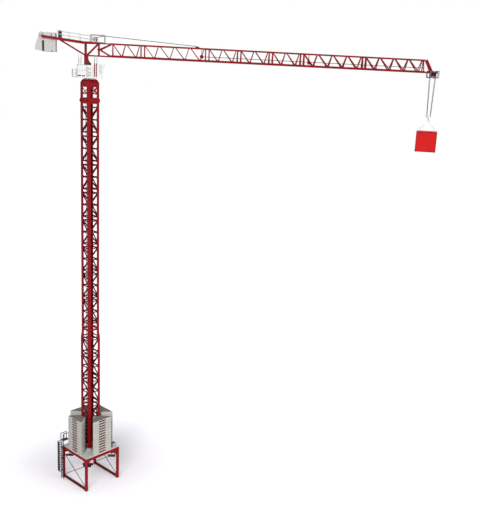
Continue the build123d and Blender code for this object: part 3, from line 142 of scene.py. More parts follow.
def layFloor():
    material, tree, surface = newMaterial("paleFloor")
    surface.inputs["Base Color"].default_value = linear(studio["floorTint"])
    surface.inputs["Roughness"].default_value = studio["floorRough"]
    surface.inputs["Specular IOR Level"].default_value = studio["floorGloss"]
    place = addNode(tree, "ShaderNodeTexCoord").outputs["Object"]
    offset = addNode(tree, "ShaderNodeVectorMath", {"operation": "SUBTRACT", 1: studio["paintedShadowCentre"]},
                     [(0, place)])
    away = addNode(tree, "ShaderNodeVectorMath", {"operation": "LENGTH"}, [(0, offset.outputs[0])])
    glowWithPaintedShadow = addNode(tree, "ShaderNodeMapRange",  # paper white away from the crane; nearer it the glow drops to a painted shadow round the base, over the real shadow
                   {"From Min": studio["paintedShadowCore"], "From Max": studio["paintedShadowEdge"],
                    "To Min": studio["paintedShadowLift"], "To Max": studio["farLift"]},
                   [("Value", away.outputs["Value"])])
    lift = addNode(tree, "ShaderNodeMath", {"operation": "MULTIPLY"},
                   [(0, glowWithPaintedShadow.outputs[0]), (1, shownRays(tree))])
    surface.inputs["Emission Color"].default_value = (1, 1, 1, 1)
    tree.links.new(lift.outputs[0], surface.inputs["Emission Strength"])
    bm = bmesh.new()
    bmesh.ops.create_grid(bm, x_segments=1, y_segments=1, size=studio["floorHalf"])
    mesh = bpy.data.meshes.new("floor")
    bm.to_mesh(mesh)
    bm.free()
    mesh.materials.append(material)
    floor = bpy.data.objects.new("floor", mesh)
    bpy.context.collection.objects.link(floor)


lightStudio()
layFloor()
print("floor and lights in place")


coat = {"mottleDetail": 3.0, "grainDetail": 2.0, "relief": 0.1, "smoother": 0.05, "rougher": 0.07,
        "sloping": 0.6, "level": 0.95}


def paint(name, light, dark, roughness, mottle, grain, depth, gloss=0.3, metallic=0.0, top=None, tone=False):
    material, tree, surface = newMaterial(name)
    place = addNode(tree, "ShaderNodeTexCoord").outputs["Object"]
    cloud = addNode(tree, "ShaderNodeTexNoise", {"Scale": 1000 / mottle, "Detail": coat["mottleDetail"]},
                    [("Vector", place)])
    factor = cloud.outputs["Fac"]
    if tone:  # each cast block is a little lighter or darker than the next
        own = addNode(tree, "ShaderNodeAttribute", {"attribute_name": "tone"})
        factor = addNode(tree, "ShaderNodeMath", {"operation": "ADD"},
                         [(0, factor), (1, own.outputs["Fac"])]).outputs[0]
    blend = addNode(tree, "ShaderNodeMixRGB", {"Color1": linear(light), "Color2": linear(dark)},
                    [("Fac", factor)])
    colour = blend.outputs[0]
    if top:  # upward faces take the darker top colour; on the ballast blocks it is painted shade, the tops dimmed as by light from the sides
        normal = addNode(tree, "ShaderNodeNewGeometry")
        parts = addNode(tree, "ShaderNodeSeparateXYZ", {}, [(0, normal.outputs["Normal"])])
        up = addNode(tree, "ShaderNodeMapRange", {"From Min": coat["sloping"], "From Max": coat["level"]},
                     [("Value", parts.outputs["Z"])])
        colour = addNode(tree, "ShaderNodeMixRGB", {"Color2": linear(top)},
                         [("Fac", up.outputs[0]), ("Color1", colour)]).outputs[0]
    tree.links.new(colour, surface.inputs["Base Color"])
    speck = addNode(tree, "ShaderNodeTexNoise", {"Scale": 1000 / grain, "Detail": coat["grainDetail"]},
                    [("Vector", place)])
    bump = addNode(tree, "ShaderNodeBump", {"Strength": depth, "Distance": coat["relief"] * mm},
                   [("Height", speck.outputs["Fac"])])
    tree.links.new(bump.outputs["Normal"], surface.inputs["Normal"])
    sheen = addNode(tree, "ShaderNodeMapRange",
                    {"To Min": roughness - coat["smoother"], "To Max": roughness + coat["rougher"]},
                    [("Value", cloud.outputs["Fac"])])
    tree.links.new(sheen.outputs[0], surface.inputs["Roughness"])
    surface.inputs["Specular IOR Level"].default_value = gloss
    surface.inputs["Metallic"].default_value = metallic
    return material


pane = {"tint": "#F1F4F5", "clear": 0.3, "haze": 7.0, "smooth": 0.03, "dull": 0.09}


def clearPane():  # thin moulded styrene, only partly clear; its near-white tint is painted light, so the shade behind the glass does not show
    material, tree, surface = newMaterial("clearStyrene")
    place = addNode(tree, "ShaderNodeTexCoord").outputs["Object"]
    haze = addNode(tree, "ShaderNodeTexNoise", {"Scale": 1000 / pane["haze"]}, [("Vector", place)])
    spread = addNode(tree, "ShaderNodeMapRange", {"To Min": pane["smooth"], "To Max": pane["dull"]},
                     [("Value", haze.outputs["Fac"])])
    tree.links.new(spread.outputs[0], surface.inputs["Roughness"])
    surface.inputs["Base Color"].default_value = linear(pane["tint"])
    surface.inputs["Transmission Weight"].default_value = pane["clear"]
    return material


# name, light, dark, roughness, mottle mm, grain mm, bump depth
finishes = {
    # die-cast metal under sprayed crimson enamel: slow drift of tone, faint orange peel
    "redEnamel": paint("crimsonEnamel", "#98161D", "#830F16", 0.48, 26.0, 0.9, 0.25, gloss=0.1),
    # the same enamel on etched lattice and ties, painted deeper in tone as the shade that falls on the
    # recessed bars
    "shadedRedEnamel": paint("shadedCrimsonEnamel", "#660E15", "#4C0A0F", 0.5, 18.0, 0.8, 0.25, gloss=0.08),
    # and on the portal's thin ties, painted darkest as the deepest shade
    "tieShadeEnamel": paint("deepShadeCrimsonEnamel", "#42090E", "#30070A", 0.5, 12.0, 0.8, 0.25, gloss=0.08),
    # cast blocks under flat stone-grey enamel, matt and dusty; their darker tops are painted shade, as light
    # falls from the sides
    "blockEnamel": paint("castBlockEnamel", "#CECDC5", "#BDBCB3", 0.72, 14.0, 0.7, 0.45,
                         top="#7A7872", tone=True),
    # the same enamel on the counterweights, smoother and without dust
    "weightEnamel": paint("paleStoneEnamel", "#CFCDC8", "#C3C1BB", 0.7, 14.0, 0.7, 0.2),
    # satin light grey enamel on plates and rails
    "paleEnamel": paint("lightGreyEnamel", "#D4D5D5", "#C6C7C7", 0.42, 20.0, 0.9, 0.2),
    # satin white enamel on the cab, cabinets and slewing platform: even, with a soft sheen
    "whiteEnamel": paint("whiteSatinEnamel", "#F0F0EF", "#E7E7E6", 0.4, 22.0, 0.9, 0.15),
    # pale painted housing whose lid and other upward faces are drawn dark grey
    "caseEnamel": paint("housingEnamel", "#B4B4B0", "#9E9E9A", 0.5, 9.0, 0.7, 0.3, top="#4A4A4A"),
    # charcoal enamel on ladders, vents and small fittings: dark, with a dull sheen
    "darkEnamel": paint("charcoalEnamel", "#303032", "#202022", 0.5, 12.0, 0.8, 0.25),
    # etched nickel silver left bare and slightly dulled
    "etchedMetal": paint("etchedNickelSilver", "#8E8F91", "#6E6F72", 0.46, 9.0, 0.5, 0.3, metallic=0.35),
    # mid-grey enamel over zinc castings, thin enough for a slight metal glint
    "trolleyMetal": paint("zincGreyEnamel", "#6B6D70", "#4F5154", 0.44, 9.0, 0.6, 0.25, metallic=0.2),
    # twisted polyester thread: almost black and dull; its fibres are drawn 0.3 mm coarse so that they show
    "ropeThread": paint("charcoalPolyesterThread", "#232320", "#131311", 0.85, 3.0, 0.3, 0.5, gloss=0.05),
    # moulded red styrene: bright and even, with hardly any grain
    "redPlastic": paint("redMouldedStyrene", "#DB2421", "#D01D1D", 0.42, 40.0, 0.8, 0.1, gloss=0.1),
    # the same styrene on the raised rim, painted deeper as the shade that gathers at its edges and ribs
    "rimShadePlastic": paint("redMouldedRimShade", "#B4242A", "#A51D23", 0.45, 30.0, 0.8, 0.15, gloss=0.1),
    # dark red ink printed flat over the grey blocks
    "printRed": paint("printedRedInk", "#5E0911", "#4C060C", 0.6, 6.0, 0.5, 0.2, gloss=0.1),
    "clearPane": clearPane(),
}
slotFinish = {"red_enamel": "redEnamel", "ballast_grey": "weightEnamel", "pale_grey_enamel": "paleEnamel",
              "white_enamel": "whiteEnamel", "dark_steel": "darkEnamel", "grey_etched_metal": "etchedMetal",
              "trolley_steel": "trolleyMetal", "rope": "ropeThread", "red_plastic": "redPlastic",
              "clear_pane": "clearPane"}
# the shaded reds given here to the mast's lattice, the sills and the portal's ties are painted shade
ownFinish = {"deck_case": "caseEnamel", "portal_braces": "tieShadeEnamel", "crane_hook": "paleEnamel",
             "access_ladder": "darkEnamel", "ladder_cage": "darkEnamel", "portal_sills": "shadedRedEnamel",
             "foot_pads": "whiteEnamel", "slewing_ring": "whiteEnamel", "slewing_platform": "whiteEnamel",
             "winch_frame": "caseEnamel", "mast_ladder": "darkEnamel",
             "mast_side_front": "shadedRedEnamel", "mast_side_right": "shadedRedEnamel",
             "mast_side_back": "shadedRedEnamel", "mast_side_left": "shadedRedEnamel"}
nodeSlots = {row["node"]: row["material_slot"] for row in frame["record"]["subparts"]}
for nodeName, solid in nodes.items():
    finish = ownFinish.get(nodeName, slotFinish[nodeSlots[nodeName]])
    for entry in solid.material_slots:
        entry.material = finishes[finish]
print("finishes mixed")


# How far the edges of small parts are rounded
bevels = {"line": 0.05, "strip": 0.08, "etched": 0.1, "door": 0.12, "plate": 0.15, "cast": 0.2}


def addBox(bm, low, high, bevel=0.0):
    verts = bmesh.ops.create_cube(bm, size=1.0)["verts"]
    for v in verts:
        v.co = Vector([(low[i] + high[i]) / 2 + v.co[i] * (high[i] - low[i]) for i in range(3)])
    if bevel:
        edges = list({e for v in verts for e in v.link_edges})
        bmesh.ops.bevel(bm, geom=edges, offset=bevel, segments=2, affect="EDGES", profile=0.5)


def addBeam(bm, start, end, width, thick, side):  # a straight flat bar, thin along side
    start, end = Vector(start), Vector(end)
    run = end - start
    along = run.normalized()
    flat = Vector(side)
    flat = (flat - along * flat.dot(along)).normalized()
    axes = Matrix((along * run.length, flat.cross(along) * width, flat * thick)).transposed().to_4x4()
    bmesh.ops.create_cube(bm, size=1.0, matrix=Matrix.Translation((start + end) / 2) @ axes)


def addSidePlates(bm, sizes, half, bevel):  # the same plate on both sides of the jib's middle plane
    x0, x1, out, z0, z1 = sizes
    for side in (-1, 1):
        addBox(bm, (x0, side * out - half, z0), (x1, side * out + half, z1), bevel)


def addDrum(bm, start, end, radius, sides=20):
    start, end = Vector(start), Vector(end)
    axis = end - start
    turn = axis.to_track_quat("Z", "Y").to_matrix().to_4x4()
    bmesh.ops.create_cone(bm, cap_ends=True, segments=sides, radius1=radius, radius2=radius,
                          depth=axis.length, matrix=Matrix.Translation((start + end) / 2) @ turn)


def addStuds(bm, xs, ys, z, steps):  # upright studs, each step with its foot, top, radius and sides
    for x in xs:
        for y in ys:
            for foot, top, radius, sides in steps:
                addDrum(bm, (x, y, z + foot), (x, y, z + top), radius, sides)


def finishMesh(name, mesh, finish, body, replaced=()):
    mesh.materials.clear()
    mesh.materials.append(finishes[finish])
    piece = bpy.data.objects.new(name, mesh)
    bpy.context.collection.objects.link(piece)
    if replaced:
        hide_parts(*replaced)
    if body:
        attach(piece, body)
    return piece


def drawPiece(name, bm, place, finish, body, replaced=()):
    bmesh.ops.transform(bm, matrix=place, verts=bm.verts)
    bmesh.ops.recalc_face_normals(bm, faces=bm.faces)
    mesh = bpy.data.meshes.new(name)
    bm.to_mesh(mesh)
    bm.free()
    finishMesh(name, mesh, finish, body, replaced)


def newTree(name, inputs):
    tree = bpy.data.node_groups.new(name, "GeometryNodeTree")
    keys = {}
    for label, kind in inputs:
        socket = tree.interface.new_socket(label, in_out="INPUT", socket_type="NodeSocket" + kind)
        keys[label] = socket.identifier
    tree.interface.new_socket("Geometry", in_out="OUTPUT", socket_type="NodeSocketGeometry")
    return tree, keys, tree.nodes.new("NodeGroupInput")


def endTree(tree, start, made):
    real = addNode(tree, "GeometryNodeRealizeInstances", {}, [("Geometry", made)])
    coated = addNode(tree, "GeometryNodeSetMaterial", {},
                     [("Geometry", real.outputs[0]), ("Material", start.outputs["Finish"])])
    addNode(tree, "NodeGroupOutput", {}, [(0, coated.outputs[0])])


def grow(name, source, tree, keys, values):
    holder = bpy.data.objects.new(name + "Source", source)
    bpy.context.collection.objects.link(holder)
    modifier = holder.modifiers.new("grow", "NODES")
    modifier.node_group = tree
    for label, value in values.items():
        modifier[keys[label]] = value
    bpy.context.view_layer.update()
    mesh = bpy.data.meshes.new_from_object(holder.evaluated_get(bpy.context.evaluated_depsgraph_get()))
    mesh.name = name
    holder.modifiers.remove(modifier)
    bpy.data.objects.remove(holder)
    return mesh


def makeCopiesTree():
    tree, keys, start = newTree("placeCopies", [("Points", "Geometry"), ("Copy", "Object"),
                                                ("Finish", "Material")])
    info = addNode(tree, "GeometryNodeObjectInfo", {"As Instance": True}, [("Object", start.outputs["Copy"])])
    turn = addNode(tree, "GeometryNodeInputNamedAttribute", {"data_type": "FLOAT_VECTOR", "Name": "turn"})
    spin = addNode(tree, "FunctionNodeEulerToRotation", {}, [(0, turn.outputs["Attribute"])])
    copies = addNode(tree, "GeometryNodeInstanceOnPoints", {},
                     [("Points", start.outputs["Points"]), ("Instance", info.outputs["Geometry"]),
                      ("Rotation", spin.outputs[0])])
    endTree(tree, start, copies.outputs[0])
    return tree, keys


def makeRopeTree():
    tree, keys, start = newTree("twistedRope", [("Base", "Geometry"), ("Length", "Float"), ("Turns", "Float"),
                                                ("Coil Radius", "Float"), ("Strand Radius", "Float"),
                                                ("Strands", "Int"), ("Steps", "Int"), ("Finish", "Material")])
    helix = addNode(tree, "GeometryNodeCurveSpiral", {},
                    [("Resolution", start.outputs["Steps"]), ("Rotations", start.outputs["Turns"]),
                     ("Start Radius", start.outputs["Coil Radius"]),
                     ("End Radius", start.outputs["Coil Radius"]), ("Height", start.outputs["Length"])])
    spots = addNode(tree, "GeometryNodePoints", {}, [("Count", start.outputs["Strands"])])
    index = addNode(tree, "GeometryNodeInputIndex")
    share = addNode(tree, "ShaderNodeMath", {"operation": "DIVIDE"},
                    [(0, index.outputs[0]), (1, start.outputs["Strands"])])
    angle = addNode(tree, "ShaderNodeMath", {"operation": "MULTIPLY", 1: 2 * math.pi},
                    [(0, share.outputs[0])])
    turn = addNode(tree, "ShaderNodeCombineXYZ", {}, [("Z", angle.outputs[0])])
    spin = addNode(tree, "FunctionNodeEulerToRotation", {}, [(0, turn.outputs[0])])
    copies = addNode(tree, "GeometryNodeInstanceOnPoints", {},
                     [("Points", spots.outputs[0]), ("Instance", helix.outputs[0]),
                      ("Rotation", spin.outputs[0])])
    strands = addNode(tree, "GeometryNodeRealizeInstances", {}, [("Geometry", copies.outputs[0])])
    profile = addNode(tree, "GeometryNodeCurvePrimitiveCircle", {"Resolution": 5},
                      [("Radius", start.outputs["Strand Radius"])])
    tube = addNode(tree, "GeometryNodeCurveToMesh", {"Fill Caps": True},
                   [("Curve", strands.outputs[0]), ("Profile Curve", profile.outputs[0])])
    endTree(tree, start, tube.outputs[0])
    return tree, keys


def makeStackTree():
    tree, keys, start = newTree("blockStack", [("Block", "Geometry"), ("Count", "Int"), ("Pitch", "Float"),
                                               ("Slip", "Float"), ("Finish", "Material")])
    step = addNode(tree, "ShaderNodeCombineXYZ", {}, [("Z", start.outputs["Pitch"])])
    line = addNode(tree, "GeometryNodeMeshLine", {},
                   [("Count", start.outputs["Count"]), ("Offset", step.outputs[0])])
    back = addNode(tree, "ShaderNodeMath", {"operation": "MULTIPLY", 1: -1.0}, [(0, start.outputs["Slip"])])
    low = addNode(tree, "ShaderNodeCombineXYZ", {}, [("X", back.outputs[0]), ("Y", back.outputs[0])])
    high = addNode(tree, "ShaderNodeCombineXYZ", {},
                   [("X", start.outputs["Slip"]), ("Y", start.outputs["Slip"])])
    slip = addNode(tree, "FunctionNodeRandomValue", {"data_type": "FLOAT_VECTOR", "Seed": 7},
                   [("Min", low.outputs[0]), ("Max", high.outputs[0])])
    moved = addNode(tree, "GeometryNodeSetPosition", {},
                    [("Geometry", line.outputs[0]), ("Offset", slip.outputs[0])])
    copies = addNode(tree, "GeometryNodeInstanceOnPoints", {},
                     [("Points", moved.outputs[0]), ("Instance", start.outputs["Block"])])
    shade = addNode(tree, "FunctionNodeRandomValue", {"data_type": "FLOAT", "Seed": 11})
    marked = addNode(tree, "GeometryNodeStoreNamedAttribute",
                     {"data_type": "FLOAT", "domain": "INSTANCE", "Name": "tone"},
                     [("Geometry", copies.outputs[0]), ("Value", shade.outputs["Value"])])
    endTree(tree, start, marked.outputs[0])
    return tree, keys


def makeWireTree():
    tree, keys, start = newTree("wireGrid", [("Base", "Geometry"), ("Length", "Float"), ("Width", "Float"),
                                             ("Across", "Int"), ("Along", "Int"), ("Wire", "Float"),
                                             ("Finish", "Material")])
    sheet = addNode(tree, "GeometryNodeMeshGrid", {},
                    [("Size X", start.outputs["Length"]), ("Size Y", start.outputs["Width"]),
                     ("Vertices X", start.outputs["Along"]), ("Vertices Y", start.outputs["Across"])])
    wires = addNode(tree, "GeometryNodeMeshToCurve", {}, [("Mesh", sheet.outputs[0])])
    profile = addNode(tree, "GeometryNodeCurvePrimitiveCircle", {"Resolution": 4},
                      [("Radius", start.outputs["Wire"])])
    tube = addNode(tree, "GeometryNodeCurveToMesh", {"Fill Caps": True},
                   [("Curve", wires.outputs[0]), ("Profile Curve", profile.outputs[0])])
    endTree(tree, start, tube.outputs[0])
    return tree, keys


copiesTree, copiesKeys = makeCopiesTree()
ropeTree, ropeKeys = makeRopeTree()
stackTree, stackKeys = makeStackTree()
wireTree, wireKeys = makeWireTree()


def scatter(name, stamp, rows, place, finish, body):
    stampMesh = bpy.data.meshes.new(name + "Stamp")
    bmesh.ops.recalc_face_normals(stamp, faces=stamp.faces)
    stamp.to_mesh(stampMesh)
    stamp.free()
    stampObject = bpy.data.objects.new(name + "Stamp", stampMesh)
    bpy.context.collection.objects.link(stampObject)
    points = bpy.data.meshes.new(name + "Points")
    points.from_pydata([tuple(spot) for spot, turn in rows], [], [])
    turns = points.attributes.new("turn", "FLOAT_VECTOR", "POINT")
    for index, (spot, turn) in enumerate(rows):
        turns.data[index].vector = turn
    mesh = grow(name, points, copiesTree, copiesKeys, {"Copy": stampObject, "Finish": finishes[finish]})
    bpy.data.objects.remove(stampObject)
    mesh.transform(place)
    return finishMesh(name, mesh, finish, body)


def helixMesh(name, start, end, values):
    start, end = Vector(start), Vector(end)
    run = end - start
    values = dict(values, Length=run.length, Finish=finishes["ropeThread"])
    mesh = grow(name, bpy.data.meshes.new("empty"), ropeTree, ropeKeys, values)
    mesh.transform(Matrix.Translation(start) @ run.to_track_quat("Z", "Y").to_matrix().to_4x4())
    return mesh


lay = {"strands": 3, "steps": 6, "coilShare": 0.26, "strandShare": 0.24}


def twistRope(name, start, end, diameter, pitch):
    turns = (Vector(end) - Vector(start)).length / pitch
    return helixMesh(name, start, end, {"Turns": turns, "Coil Radius": diameter * lay["coilShare"],
                                        "Strand Radius": diameter * lay["strandShare"],
                                        "Strands": lay["strands"], "Steps": lay["steps"]})


def joinMeshes(name, meshes):
    bm = bmesh.new()
    for mesh in meshes:
        bm.from_mesh(mesh)
    joined = bpy.data.meshes.new(name)
    bm.to_mesh(joined)
    bm.free()
    return joined


def wireSheet(name, length, width, spacing, wire, turn):
    values = {"Length": length, "Width": width, "Along": round(length / spacing) + 1,
              "Across": round(width / spacing) + 1, "Wire": wire / 2, "Finish": finishes["paleEnamel"]}
    mesh = grow(name, bpy.data.meshes.new("empty"), wireTree, wireKeys, values)
    mesh.transform(turn)
    return mesh


bolt = {"washerHigh": 0.3, "washerWide": 0.72, "headWide": 0.5}


def boltStamp(width, height):  # a hexagon head on a round washer
    bm = bmesh.new()
    seat = height * bolt["washerHigh"]
    addDrum(bm, (0, 0, 0), (0, 0, seat), width * bolt["washerWide"], sides=10)
    addDrum(bm, (0, 0, seat), (0, 0, height), width * bolt["headWide"], sides=6)
    return bm


def plateStamp(x, y, z):
    bm = bmesh.new()
    addBox(bm, (-x / 2, -y / 2, 0), (x / 2, y / 2, z))
    return bm


def outlineStamp(outline, thick):  # an outline in the XY plane, given its thickness upwards
    bm = bmesh.new()
    bottom = bm.faces.new([bm.verts.new((x, y, 0)) for x, y in outline])
    top = bmesh.ops.extrude_face_region(bm, geom=[bottom])
    raised = [v for v in top["geom"] if isinstance(v, bmesh.types.BMVert)]
    bmesh.ops.translate(bm, verts=raised, vec=(0, 0, thick))
    return bm


def gussetStamp(wide, high, thick):  # a plate that narrows away from the leg it sits on
    return outlineStamp([(0, -high / 2), (wide, -high / 5), (wide, high / 5), (0, high / 2)], thick)


def facing(direction, across=None):  # stamp Z along direction, and stamp X along across where given
    z = Vector(direction).normalized()
    if across is None:
        return z.to_track_quat("Z", "Y").to_euler()
    x = Vector(across).normalized()
    y = z.cross(x).normalized()
    return Matrix((x, y, z)).transposed().to_euler()


# Ballast: cast blocks in four stacks, each with a plain printed bar
ballast = {"count": 13, "pitch": 9.4, "thick": 9.15, "foot": 123.6, "bevel": 0.45, "slip": 0.12,
           "long": 76.0, "short": 31.0, "outer": 66.0, "inner": 34.0,
           "barLong": 27.0, "barHigh": 4.2, "barProud": 0.25}


def buildBallast():
    outline = [(-ballast["long"] / 2, -ballast["outer"]), (ballast["long"] / 2, -ballast["outer"]),
               (ballast["short"] / 2, -ballast["inner"]), (-ballast["short"] / 2, -ballast["inner"])]
    bm = outlineStamp(outline, ballast["thick"])
    bmesh.ops.bevel(bm, geom=list(bm.edges), offset=ballast["bevel"], segments=2, affect="EDGES", profile=0.5)
    bmesh.ops.recalc_face_normals(bm, faces=bm.faces)
    block = bpy.data.meshes.new("block")
    bm.to_mesh(block)
    bm.free()
    stack = grow("stack", block, stackTree, stackKeys,
                 {"Count": ballast["count"], "Pitch": ballast["pitch"], "Slip": ballast["slip"],
                  "Finish": finishes["blockEnamel"]})
    bars = []
    for name, turn in zip(("front", "right", "back", "left"), quarterTurns):
        mesh = stack.copy()
        mesh.transform(basePlace @ turn @ Matrix.Translation((0, 0, ballast["foot"])))
        finishMesh("ballastStack_" + name, mesh, "blockEnamel", "base", ["ballast_" + name])
        for level in range(ballast["count"]):
            spot = Vector((0, -ballast["outer"], ballast["foot"] + (level + 0.5) * ballast["pitch"]))
            bars.append((turn @ spot, facing(turn @ Vector((0, -1, 0)), turn @ Vector((1, 0, 0)))))
    scatter("ballastBars", plateStamp(ballast["barLong"], ballast["barHigh"], ballast["barProud"]), bars,
            basePlace, "printRed", "base")


buildBallast()
print("ballast stacked")

# Mast: splice plates and bolts at the section joints, the inner ladder's rungs, the angle bars of the
# lattice, and the small castings at the head, the collar and the foot
mast = {"foot": 123.6, "taperFoot": 527.0, "lowerTop": 558.0, "upperFoot": 572.4, "section": 90.0,
        "shortSection": 65.0, "gap": 13.5, "upperCount": 8, "lowerCount": 4, "upperHalf": 20.7,
        "lowerHalf": 22.8, "flange": 9.0, "plateWide": 6.4, "plateHigh": 11.0, "plateThick": 0.5,
        "boltWide": 1.3, "boltHigh": 0.8, "boltStep": 3.2, "ladderX": -2.0, "ladderHalf": 5.0,
        "ladderY": 12.0, "rungPitch": 6.0, "rung": 0.9, "panelFace": 2.75, "panelThick": 1.6,
        "gussetWide": 4.0, "gussetHigh": 7.0, "gussetIn": 0.4, "gussetThick": 1.7, "bar": 3.4,
        "lipDeep": 3.0, "lipThick": 1.0, "windowRail": 1327.3, "windowTop": 1347.0, "brace": 2.0,
        "braceThick": 1.7, "braceIn": 0.8, "lugOut": 21.4, "lugZ": (1303.0, 1311.0), "lug": 1.8,
        "shoe": (21.0, 33.0, 8.0), "shoeBevel": 1.2}


def buildMastFittings():
    joints = [(mast["upperFoot"] + mast["section"] * n, mast["upperHalf"])
              for n in range(1, mast["upperCount"])]
    joints += [(mast["lowerTop"] - mast["section"] * n, mast["lowerHalf"])
               for n in range(1, mast["lowerCount"] + 1)]
    plates, bolts = [], []
    for z, half in joints:
        for turn in quarterTurns:
            aim = facing(turn @ Vector((0, -1, 0)), turn @ Vector((1, 0, 0)))
            for side in (-1, 1):
                x = side * (half - mast["flange"] / 2)
                plates.append((turn @ Vector((x, -half, z)), aim))
                for rise in (-1, 1):
                    for shift in (-0.5, 0.5):
                        spot = Vector((x + shift * mast["boltStep"], -half - mast["plateThick"],
                                       z + rise * mast["boltStep"]))
                        bolts.append((turn @ spot, aim))
    scatter("mastSplices", plateStamp(mast["plateWide"], mast["plateHigh"], mast["plateThick"]), plates,
            basePlace, "redEnamel", "base")
    scatter("mastBolts", boltStamp(mast["boltWide"], mast["boltHigh"]), bolts, basePlace, "redEnamel", "base")
    top = mast["upperFoot"] + mast["section"] * mast["upperCount"]
    rungs = []
    for step in range(1, int((top - mast["foot"]) / mast["rungPitch"])):
        rungs.append((Vector((mast["ladderX"], mast["ladderY"], mast["foot"] + step * mast["rungPitch"])),
                      facing((1, 0, 0))))
    stamp = bmesh.new()
    addDrum(stamp, (0, 0, -mast["ladderHalf"]), (0, 0, mast["ladderHalf"]), mast["rung"] / 2, sides=6)
    scatter("mastLadderRungs", stamp, rungs, basePlace, "darkEnamel", "base")


def addAngle(bm, start, end):  # a flat bar in the panel's plane with a lip that stands inwards
    middle = mast["panelThick"] / 2
    start, end = Vector(start + (middle,)), Vector(end + (middle,))
    addBeam(bm, start, end, mast["bar"], mast["panelThick"], (0, 0, 1))
    across = Vector((0, 0, 1)).cross(end - start).normalized() * ((mast["bar"] - mast["lipThick"]) / 2)
    drop = Vector((0, 0, -(mast["panelThick"] + mast["lipDeep"]) / 2))
    addBeam(bm, start - across + drop, end - across + drop, mast["lipThick"], mast["lipDeep"], (0, 0, 1))


def sectionStamp(height, half, way):  # the angle bars of one side of one section
    bm = bmesh.new()
    reach = half - mast["panelFace"]
    top = (height - mast["gap"]) / 2
    for y in (-top, top):
        addAngle(bm, (-reach, y), (reach, y))
    if height > mast["shortSection"]:
        addAngle(bm, (-reach, 0.0), (reach, 0.0))
        addAngle(bm, (way * reach, top), (-way * reach, 0.0))
        addAngle(bm, (-way * reach, 0.0), (way * reach, -top))
    else:
        addAngle(bm, (way * reach, top), (-way * reach, -top))
    return bm


def buildMastLattice():
    lower = [mast["lowerTop"] - mast["section"] * n for n in range(mast["lowerCount"], 0, -1)]
    upper = [mast["upperFoot"] + mast["section"] * n for n in range(mast["upperCount"] + 1)]
    gussets = []
    runs = (("Foot", [mast["foot"], lower[0]], mast["lowerHalf"]), ("Lower", lower, mast["lowerHalf"]),
            ("Taper", [lower[-1], mast["taperFoot"]], mast["lowerHalf"]), ("Upper", upper, mast["upperHalf"]))
    for label, levels, half in runs:
        height = levels[1] - levels[0]
        for way, turns in ((1, quarterTurns[0::2]), (-1, quarterTurns[1::2])):
            rows = []
            for turn in turns:
                out, across = turn @ Vector((0, -1, 0)), turn @ Vector((1, 0, 0))
                for low in levels[:-1]:
                    spot = Vector((0, -half + mast["panelFace"], low + height / 2))
                    rows.append((turn @ spot, facing(out, across)))
                    for side in (-1, 1):
                        x = side * (half - mast["flange"] + mast["gussetIn"])
                        for shift in (-1, 0, 1) if height > mast["shortSection"] else (-1, 1):
                            z = low + height / 2 + shift * (height - mast["gap"]) / 2
                            spot = Vector((x, -half + mast["panelFace"], z))
                            gussets.append((turn @ spot, facing(out, turn @ Vector((-side, 0, 0)))))
            # the lattice bars and gussets take the shaded red: painted shade
            scatter("mastBars" + label + ("A" if way > 0 else "B"), sectionStamp(height, half, way), rows,
                    basePlace, "shadedRedEnamel", "base")
    scatter("mastGussets", gussetStamp(mast["gussetWide"], mast["gussetHigh"], mast["gussetThick"]), gussets,
            basePlace, "shadedRedEnamel", "base")


def buildMastEnds():  # braces in the head's windows, lugs at the collar, cast shoes on the deck
    bm = bmesh.new()
    half, reach = mast["upperHalf"], mast["upperHalf"] - mast["flange"]
    rail, top, depth = mast["windowRail"], mast["windowTop"], -mast["braceIn"]
    addBeam(bm, (-reach, rail, depth), (reach, rail, depth), mast["bar"], mast["braceThick"], (0, 0, 1))
    addBeam(bm, (-reach, top, depth), (reach, rail, depth), mast["brace"], mast["braceThick"], (0, 0, 1))
    rows = []
    for turn in quarterTurns:
        aim = facing(turn @ Vector((0, -1, 0)), turn @ Vector((1, 0, 0)))
        rows.append((turn @ Vector((0, -half, 0)), aim))
    scatter("headBraces", bm, rows, basePlace, "redEnamel", "base")
    lugs, shoes = bmesh.new(), bmesh.new()
    near, far, high = mast["shoe"]
    for x in (-1, 1):
        for y in (-1, 1):
            spot = (x * mast["lugOut"], y * mast["lugOut"])
            addDrum(lugs, spot + (mast["lugZ"][0],), spot + (mast["lugZ"][1],), mast["lug"], sides=12)
            xs, ys = sorted((x * near, x * far)), sorted((y * near, y * far))
            addBox(shoes, (xs[0], ys[0], mast["foot"]), (xs[1], ys[1], mast["foot"] + high),
                   mast["shoeBevel"])
    drawPiece("collarLugs", lugs, basePlace, "redEnamel", "base")
    drawPiece("mastShoes", shoes, basePlace, "paleEnamel", "base")


buildMastFittings()
buildMastLattice()
buildMastEnds()
print("mast fitted")

# Portal feet, mast collar and slewing ring
fasteners = {"spacing": 66.3, "footTop": 3.0, "footBolt": 4.9, "collarZ": 1306.9, "collarHalf": 21.6,
             "collarBolts": (-9.0, -3.0, 3.0, 9.0), "bolt": 1.2, "headShare": 0.7, "ringRadius": 19.0,
             "ringZ": 1372.1, "teeth": 60, "toothWide": 1.0, "toothHigh": 2.2, "toothDeep": 0.5}


